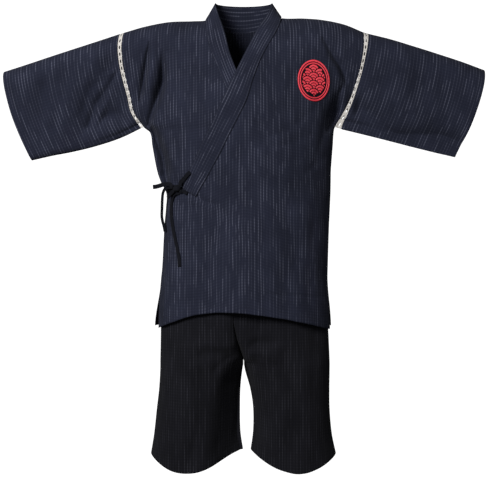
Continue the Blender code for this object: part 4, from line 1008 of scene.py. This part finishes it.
def knot_edge(turn, level):
    """A place just clear of the knot, at an angle round it from across and a level off its middle."""
    middle, off, _, _ = knot_frame()
    cos, sin = math.cos(math.radians(turn)), math.sin(math.radians(turn))
    nearest = max(level, 0) - min(level + STRAP_WALL, 0)  # from the knot's middle to the strap's wall
    shrink = circle(min(nearest / (KNOT_THICK / 2), KNOT_EDGE))
    radius = shrink / math.hypot(cos / (KNOT_WIDE / 2), sin / (KNOT_TALL / 2)) + KNOT_CLEAR
    return middle + knot_radial(turn) * radius + off * level


def stop_place(on, stop):
    """A stop's place, and the way off the cloth there."""
    if on == "air":
        return np.array(stop, float), np.array(AWAY)
    x, z, out = stop
    lifts = WALL + out, WALL + out + 1
    if on == "over":
        here, above = (over_point(x, z, lift) for lift in lifts)
    else:
        here, above = (body_point(x, z, FRONT, lift) for lift in lifts)
    return here, unit(above - here)


def make_strap(name, width, stops, sides, offs, finish, inside=body_axis):
    """A flat strap along its stops, a little hollow across, as a folded tie is."""
    rows = smooth_rows(np.concatenate([stops, sides, offs], axis=-1)[:, None], STRAP_FINE_STEPS)
    middle, side, off = rows[..., 0:3], unit(rows[..., 3:6]), unit(rows[..., 6:9])
    share = np.linspace(-0.5, 0.5, STRAP_FINE_COLUMNS + 1)[None, :, None]
    points = middle + side * width * share + off * STRAP_HOLLOW * (1 - (2 * share) ** 2)
    cloth = grid_lengths(points)
    return lay(f"{name}_cloth", points, cloth, finish, name, STRAP_FINE_WALL, inside)


def make_ties(finish):
    _, off, _, _ = knot_frame()
    for tie in STRAPS:
        start = knot_edge(tie.turn, tie.level)
        places = [(start, off), (start + knot_radial(tie.turn) * KNOT_STUB, off)]
        places += [stop_place(tie.on, stop) for stop in tie.stops]
        points, offs = (np.array(values) for values in zip(*places))
        sides = unit(np.cross(np.gradient(points, axis=0), offs))
        make_strap(tie.name, tie.width, points, sides, offs, finish)
    make_loop(finish)
    make_knot(finish)


def make_loop(finish):
    """The bow's loop, which stands out from the knot and droops a little."""
    _, off, _, _ = knot_frame()
    radial = knot_radial(LOOP_TURN)
    turn = np.pi * np.arange(LOOP_STEPS + 1) / LOOP_STEPS
    level = LOOP_LEVEL - LOOP_OPEN / 2 * np.cos(turn) * (1 + np.sin(turn))
    starts = np.array([knot_edge(LOOP_TURN, one) for one in level])
    droop = spot(0, 0, LOOP_DROOP * np.sin(turn) ** 2)
    loop = starts + radial * LOOP_LONG * np.sin(turn)[:, None] - droop
    heart = loop.mean(axis=0)
    sides = np.tile(np.cross(radial, off), (len(loop), 1))
    make_strap("tie_loop", LOOP_WIDTH, loop, sides, unit(loop - heart), finish, point_inside(heart))


def squared(wave):
    return np.sign(wave) * np.abs(wave) ** KNOT_SQUARE


def make_knot(finish):
    """The bow's knot: a strap wound round and tucked under itself, with its turns showing as soft ridges."""
    middle, off, across, up = knot_frame()
    around, over = shares(KNOT_FINE, KNOT_FINE)
    turn, tilt = 2 * math.pi * around, math.pi * (over - 0.5)
    wrap = 1 + KNOT_RIDGE * np.cos(KNOT_TURNS * tilt + KNOT_SLANT * np.sin(turn)) * np.cos(tilt)
    girth = KNOT_INSET / 2 * wrap * squared(np.cos(tilt))
    wide = (KNOT_WIDE * girth * squared(np.cos(turn)))[..., None]
    thick = (KNOT_THICK * girth * squared(np.sin(turn)))[..., None]
    tall = (KNOT_TALL * KNOT_INSET / 2 * squared(np.sin(tilt)))[..., None]
    points = middle + across * wide + off * thick + up * tall
    cloth = np.stack([KNOT_WIDE * around, KNOT_TALL * 2 * over], axis=-1)
    inside = point_inside(middle)
    return lay("tie_knot_cloth", points, cloth, finish, "tie_knot", KNOT_FINE_WALL, inside)


# ---- Roundel ---------------------------------------------------------------------------------------


def roundel_point(across, up, lift):
    """A place on the roundel, from lengths across and up it."""
    return over_point(ROUNDEL_X + across * ROUNDEL_TURN, ROUNDEL_Z + up, WALL + ROUNDEL_LIFT + lift)


def stitched_line(across, up, width, closed):
    """The grid of a raised line of satin stitch, as wide as given, along a path on the roundel."""
    way = np.stack([np.gradient(across), np.gradient(up)], axis=-1)
    if closed:
        way[0] = way[-1] = way[0] + way[-1]
    side = unit(np.stack([-way[:, 1], way[:, 0]], axis=-1)) * width
    share = np.linspace(-0.5, 0.5, STITCH_COLUMNS + 1)[None]
    raised = STITCH_HIGH * (1 - (2 * share) ** STITCH_SQUARE)
    return roundel_point(across[:, None] + side[:, :1] * share, up[:, None] + side[:, 1:] * share, raised)


def seen_runs(seen, shortest):
    """The start and end of each run of seen points that is long enough."""
    ends = np.flatnonzero(np.diff(np.concatenate([[0], seen, [0]]).astype(int)))
    return [(first, last) for first, last in zip(ends[::2], ends[1::2]) if last - first >= shortest]


def wave_paths():
    """Arcs of overlapping round scales within the ring, each hidden where the rows below lie over it."""
    paths = []
    grid = [(row, k) for row in range(-WAVE_ROWS, WAVE_ROWS + 1) for k in range(-WAVE_ROWS, WAVE_ROWS)]
    centres = [((2 * k + row % 2) * WAVE_RADIUS, row * WAVE_RADIUS / 2) for row, k in grid]
    turn = np.linspace(-WAVE_PAST * math.pi, (1 + WAVE_PAST) * math.pi, WAVE_STEPS)
    for x, z in centres:
        for radius in WAVE_ARCS:
            across, up = x + radius * np.cos(turn), z + radius * np.sin(turn)
            seen = np.hypot(across, up) < WAVE_EDGE - WAVE_WIDE / 2
            for other_x, other_z in centres:
                if other_z < z:
                    seen &= np.hypot(across - other_x, up - other_z) > WAVE_RADIUS + WAVE_WIDE / 4
            runs = seen_runs(seen, WAVE_SHORTEST)
            paths += [(across[first:last], up[first:last]) for first, last in runs]
    return paths


def make_roundel(ground, thread):
    def inside(points):
        return spot(points[..., 0], 0, points[..., 2])

    around, out = shares(ROUNDEL_FINE_COLUMNS, ROUNDEL_FINE_ROWS)
    turn = 2 * math.pi * around
    across, up = (ROUNDEL_RADIUS * out * wave for wave in (np.cos(turn), np.sin(turn)))
    points = roundel_point(across, up, -ROUNDEL_LIFT / 2)
    cloth = np.stack([across, up], axis=-1)
    base = lay("roundel_ground", points, cloth, ground, None, ROUNDEL_FINE_WALL, inside)
    circuit = np.linspace(0, 2 * math.pi, RING_STEPS)
    lines = [(radius * np.cos(circuit), radius * np.sin(circuit), width, True) for radius, width in RINGS]
    lines += [(*path, WAVE_WIDE, False) for path in wave_paths()]
    name, slot, parts = "roundel_stitching", "red_stitching", []
    for line in lines:
        points = stitched_line(*line)
        parts.append(lay(name, points, grid_lengths(points), thread, None, STITCH_WALL, inside))
    stitching = join(parts, name)
    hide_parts("roundel")
    return base, stitching


def join(parts, name):
    """One piece from many with the same look."""
    with bpy.context.temp_override(active_object=parts[0], selected_editable_objects=parts):
        bpy.ops.object.join()
    parts[0].name = name
    parts[0].data.name = name
    return parts[0]


# ---- Finishes --------------------------------------------------------------------------------------


class Finish:
    """A cloth's material, with short calls for the maths in its nodes."""

    def __init__(self, name, roughness, sheen=0.0, specular=0.1):
        self.material = bpy.data.materials.new(name)
        self.material.use_nodes = True
        self.tree = self.material.node_tree
        self.shader = self.tree.nodes["Principled BSDF"]
        self.shader.inputs["Roughness"].default_value = roughness
        self.shader.inputs["Sheen Weight"].default_value = sheen
        self.shader.inputs["Sheen Roughness"].default_value = SHEEN_ROUGHNESS
        self.shader.inputs["Specular IOR Level"].default_value = specular

    def feed(self, socket, value):
        if isinstance(value, bpy.types.NodeSocket):
            self.tree.links.new(value, socket)
        else:
            socket.default_value = value

    def node(self, kind, output, inputs, **settings):
        """Adds a node with its settings and inputs, and returns one output."""
        node = self.tree.nodes.new(kind)
        for name, value in settings.items():
            setattr(node, name, value)
        for key, value in inputs.items():
            self.feed(node.inputs[key], value)
        return node.outputs[output]

    def maths(self, operation, a, b=0.0, c=0.0):
        return self.node("ShaderNodeMath", 0, {0: a, 1: b, 2: c}, operation=operation)

    def times(self, a, b, plus=None):
        """a times b, plus a third value if there is one."""
        return self.maths("MULTIPLY", a, b) if plus is None else self.maths("MULTIPLY_ADD", a, b, plus)

    def shared(self, a, share, b):
        """A share of one value, and the rest of another."""
        return self.times(a, share, self.times(b, 1 - share))

    def soft(self, value, low, high):
        """0 at low and 1 at high, or the other way round, with a smooth step between them."""
        inputs = {"Value": value, "From Min": low, "From Max": high}
        return self.node("ShaderNodeMapRange", 0, inputs, interpolation_type="SMOOTHSTEP")

    def lengths(self, layer):
        """The two lengths of one of the piece's layers, in millimetres."""
        place = self.node("ShaderNodeUVMap", "UV", {}, uv_map=layer)
        both = [self.node("ShaderNodeSeparateXYZ", axis, {"Vector": place}) for axis in ("X", "Y")]
        return [self.times(one, 1 / MM) for one in both]

    def noise(self, across, along, detail=0.0):
        place = self.node("ShaderNodeCombineXYZ", 0, {"X": across, "Y": along})
        inputs = {"Vector": place, "Scale": 1.0, "Detail": detail}
        return self.node("ShaderNodeTexNoise", 0, inputs, noise_dimensions="2D")

    def cloud(self, across, along, wide, long, detail=0.0):
        """Noise from 0 to 1 in patches as wide and long as given."""
        return self.noise(self.times(across, 1 / wide), self.times(along, 1 / long), detail)

    def mix(self, share, a, b, mode="MIX"):
        node = self.tree.nodes.new("ShaderNodeMix")
        node.data_type, node.blend_type = "RGBA", mode
        for index, value in ((0, share), (6, a), (7, b)):
            self.feed(node.inputs[index], value)
        return node.outputs[2]

    def wave(self, length, pitch):
        """A ripple from 0 to 1, once in each pitch."""
        return self.times(self.maths("SINE", self.times(length, 2 * math.pi / pitch)), 0.5, 0.5)

    def done(self, colour, height):
        """Ends the material with its colour, and with its relief in millimetres."""
        self.feed(self.shader.inputs["Base Color"], colour)
        inputs = {"Height": height, "Strength": 1.0, "Distance": MM}
        self.feed(self.shader.inputs["Normal"], self.node("ShaderNodeBump", "Normal", inputs))
        return self.material


def warp_stripes(finish, look, across, along, rib):
    """The broken pale threads along the cloth, from 0 to 1."""
    at = finish.times(across, 1 / STRIPE_PITCH)
    line = finish.maths("FLOOR", at)
    chance = finish.node("ShaderNodeTexWhiteNoise", "Value", {"W": line}, noise_dimensions="1D")
    shift = finish.times(chance, STRIPE_STRAY, -0.5 - STRIPE_STRAY / 2)
    off = finish.maths("ABSOLUTE", finish.maths("ADD", finish.maths("FRACT", at), shift))
    thread = finish.soft(off, (STRIPE_HALF + STRIPE_SOFT) / STRIPE_PITCH, STRIPE_HALF / STRIPE_PITCH)
    comb, ragged, faint = (
        finish.noise(finish.times(line, step), finish.times(along, 1 / long))
        for step, long in ((COMB_STEP, COMB_LONG), (RAGGED_STEP, RAGGED_LONG), (FAINT_STEP, FAINT_LONG))
    )
    group = finish.cloud(across, along, GROUP_WIDE, GROUP_LONG)
    level = finish.times(ragged, RAGGED, finish.times(group, GROUPED, comb))
    run = finish.soft(level, SHOWN - RUN_END, SHOWN + RUN_END)
    seen = finish.times(run, 1 - look.faint, look.faint)
    strength = finish.times(finish.soft(faint, FAINT_FROM, FAINT_TO), 1 - FAINTEST, FAINTEST)
    thread = finish.times(thread, finish.times(rib, RIB_BREAK, 1 - RIB_BREAK))
    return finish.times(finish.times(thread, seen), strength)


def stitched_hem(finish, look, wide, colour, height):
    """The cloth's colour and relief, with its turned hem and the stitched line that holds it."""
    run, away = finish.lengths("Edge")
    double = finish.soft(away, wide + HEM_STEP_OUT, wide - HEM_STEP_IN)
    off_line = finish.maths("ABSOLUTE", finish.maths("SUBTRACT", away, wide - HEM_STITCH))
    on_line = finish.soft(off_line, LINE_FADE, LINE_HALF)
    stitch = finish.times(on_line, finish.soft(finish.wave(run, STITCH_PITCH), STITCH_FROM, STITCH_FULL))
    for part, high in ((double, HEM_HIGH), (on_line, -STITCH_DEEP), (stitch, STITCH_DEEP)):
        height = finish.times(part, high, height)
    colour = finish.mix(finish.times(on_line, SEAM_SHADE), colour, look.seam)
    return finish.mix(finish.times(stitch, THREAD_SHARE), colour, look.stripe), height


def striped_cotton(name, look, hem_wide):
    """Plain-woven cotton with broken pale threads along it, a faint rib across it and a stitched hem."""
    finish = Finish(name, MATT, SHEEN, COTTON_GLOSS)
    across, along = finish.lengths("Cloth")
    rib = finish.wave(along, RIB_PITCH)
    stripe = warp_stripes(finish, look, across, along, rib)
    weave = finish.times(finish.wave(along, WEFT_PITCH), finish.wave(across, WARP_PITCH))
    cloudy = finish.cloud(across, along, CLOUD, CLOUD, CLOUD_DETAIL)
    shade = DULL
    for part, share in ((cloudy, CLOUDED), (rib, RIBBED), (weave, SPECKLED)):
        shade = finish.times(part, share, shade)
    grey = finish.node("ShaderNodeCombineXYZ", 0, {0: shade, 1: shade, 2: shade})
    base, pale = (finish.mix(1.0, colour, grey, "MULTIPLY") for colour in (look.base, look.stripe))
    colour = finish.mix(finish.times(stripe, look.contrast), base, pale)
    height = finish.times(weave, WEAVE_HIGH, finish.times(rib, RIB_HIGH))
    height = finish.times(stripe, STRIPE_HIGH, height)
    return finish.done(*stitched_hem(finish, look, hem_wide, colour, height))


def plain_cotton(name, look):
    """Dark cotton tape, ribbed along its length."""
    finish = Finish(name, MATT, SHEEN, COTTON_GLOSS)
    across, along = finish.lengths("Cloth")
    weft, warp = finish.wave(along, WEFT_PITCH), finish.wave(across, WARP_PITCH)
    worn = finish.shared(weft, TAPE_WEFT, finish.cloud(across, along, *TAPE_PATCH, CLOUD_DETAIL))
    colour = finish.mix(worn, look.base, look.stripe)
    return finish.done(colour, finish.times(finish.maths("ADD", weft, warp), WEAVE_HIGH))


def lace_thread(name, look):
    """Cream cotton lace: fine threads wound round and round its bars."""
    finish = Finish(name, MATT, SHEEN, LACE_GLOSS)
    across, along = finish.lengths("Cloth")
    ways = [finish.maths(operation, across, along) for operation in ("ADD", "SUBTRACT")]
    threads = finish.times(*(finish.wave(way, LACE_PITCH) for way in ways))
    worn = finish.shared(threads, LACE_THREADS, finish.cloud(across, along, *LACE_PATCH, CLOUD_DETAIL))
    return finish.done(finish.mix(worn, look.seam, look.base), finish.times(threads, LACE_RELIEF))


def satin_stitch(name, look):
    """Red satin stitch: threads side by side across each line, with a soft gloss."""
    finish = Finish(name, SATIN, 0.0, SATIN_GLOSS)
    across, along = finish.lengths("Cloth")
    uneven = finish.cloud(across, along, *SATIN_PATCH, CLOUD_DETAIL)
    thread = finish.wave(finish.times(uneven, THREAD_STRAY, along), THREAD_PITCH)
    worn = finish.shared(thread, SATIN_THREADS, uneven)
    return finish.done(finish.mix(worn, look.seam, look.base), finish.times(thread, THREAD_HIGH))


# ---- Scene -----------------------------------------------------------------------------------------


def make_backdrop():
    """A white floor that curves up into a white wall behind."""
    profile = [(STAGE_FRONT, STAGE_FLOOR), (STAGE_BACK - STAGE_CURVE, STAGE_FLOOR)]
    for i in range(1, STAGE_STEPS + 1):
        turn = math.pi / 2 * i / STAGE_STEPS
        y = STAGE_BACK - STAGE_CURVE * (1 - math.sin(turn))
        profile.append((y, STAGE_FLOOR + STAGE_CURVE * (1 - math.cos(turn))))
    profile.append((STAGE_BACK, STAGE_TOP))
    verts = [(side * STAGE_HALF, y, z) for y, z in profile for side in (-1, 1)]
    faces = [(2 * i, 2 * i + 1, 2 * i + 3, 2 * i + 2) for i in range(len(profile) - 1)]
    mesh = bpy.data.meshes.new("backdrop")
    mesh.from_pydata(verts, [], faces)
    mesh.shade_smooth()
    backdrop = bpy.data.objects.new("backdrop", mesh)
    bpy.context.scene.collection.objects.link(backdrop)
    paper = bpy.data.materials.new("white_paper")
    paper.use_nodes = True
    shader = paper.node_tree.nodes["Principled BSDF"]
    shader.inputs["Base Color"].default_value = (PAPER_SHADE, PAPER_SHADE, PAPER_SHADE, 1)
    shader.inputs["Roughness"].default_value = 1.0
    shader.inputs["Emission Color"].default_value = (1, 1, 1, 1)
    shader.inputs["Emission Strength"].default_value = PAPER_GLOW
    mesh.materials.append(paper)
    itself = bpy.data.collections.new("paper_light")
    itself.objects.link(backdrop)
    backdrop.light_linking.receiver_collection = itself  # its glow lights only itself


def make_lights():
    world = bpy.data.worlds.new("studio")
    world.use_nodes = True
    world.node_tree.nodes["Background"].inputs["Color"].default_value = WORLD_COLOUR
    world.node_tree.nodes["Background"].inputs["Strength"].default_value = WORLD_STRENGTH
    bpy.context.scene.world = world
    for lamp in LAMPS:
        light = bpy.data.lights.new(lamp.name, "AREA")
        light.energy, light.size = lamp.watts, lamp.size
        holder = bpy.data.objects.new(lamp.name, light)
        holder.location = (lamp.x, lamp.y, lamp.z)
        aim = Vector((0, 0, PICTURE_Z)) - holder.location
        holder.rotation_euler = aim.to_track_quat("-Z", "Y").to_euler()
        bpy.context.scene.collection.objects.link(holder)


def make_camera():
    data = bpy.data.cameras.new("photo_camera")
    data.lens, data.sensor_width = CAMERA_LENS, CAMERA_SENSOR
    camera = bpy.data.objects.new("photo_camera", data)
    camera.location = (PICTURE_X, -CAMERA_AWAY, PICTURE_Z)
    camera.rotation_euler = (math.pi / 2, 0, 0)
    bpy.context.scene.collection.objects.link(camera)
    bpy.context.scene.camera = camera


# ---- Building the set, its stage and camera --------------------------------------------------------


def main():
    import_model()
    navy_hemmed = striped_cotton("navy_cotton", NAVY, JACKET_HEM_WIDE)
    dark_hemmed = striped_cotton("dark_cotton", DARK, SHORTS_HEM_WIDE)
    band = striped_cotton("collar_cotton", NAVY, COLLAR_STITCH)
    tape = plain_cotton("tie_cotton", TAPE)
    cream, red = lace_thread("cream_lace", CREAM), satin_stitch("red_stitching", RED)
    back, under, over = make_body(navy_hemmed)
    make_collar(band)
    for side in (LEFT, RIGHT):
        make_sleeve(side, navy_hemmed)
        for face in (FRONT, BACK):
            make_lace(side, face, cream)
            make_shorts(side, face, dark_hemmed)
    make_casing(dark_hemmed)
    make_ties(tape)
    ground, stitching = make_roundel(tape, red)
    make_backdrop()
    make_lights()
    make_camera()
    bpy.context.scene.view_settings.view_transform = "Standard"


main()
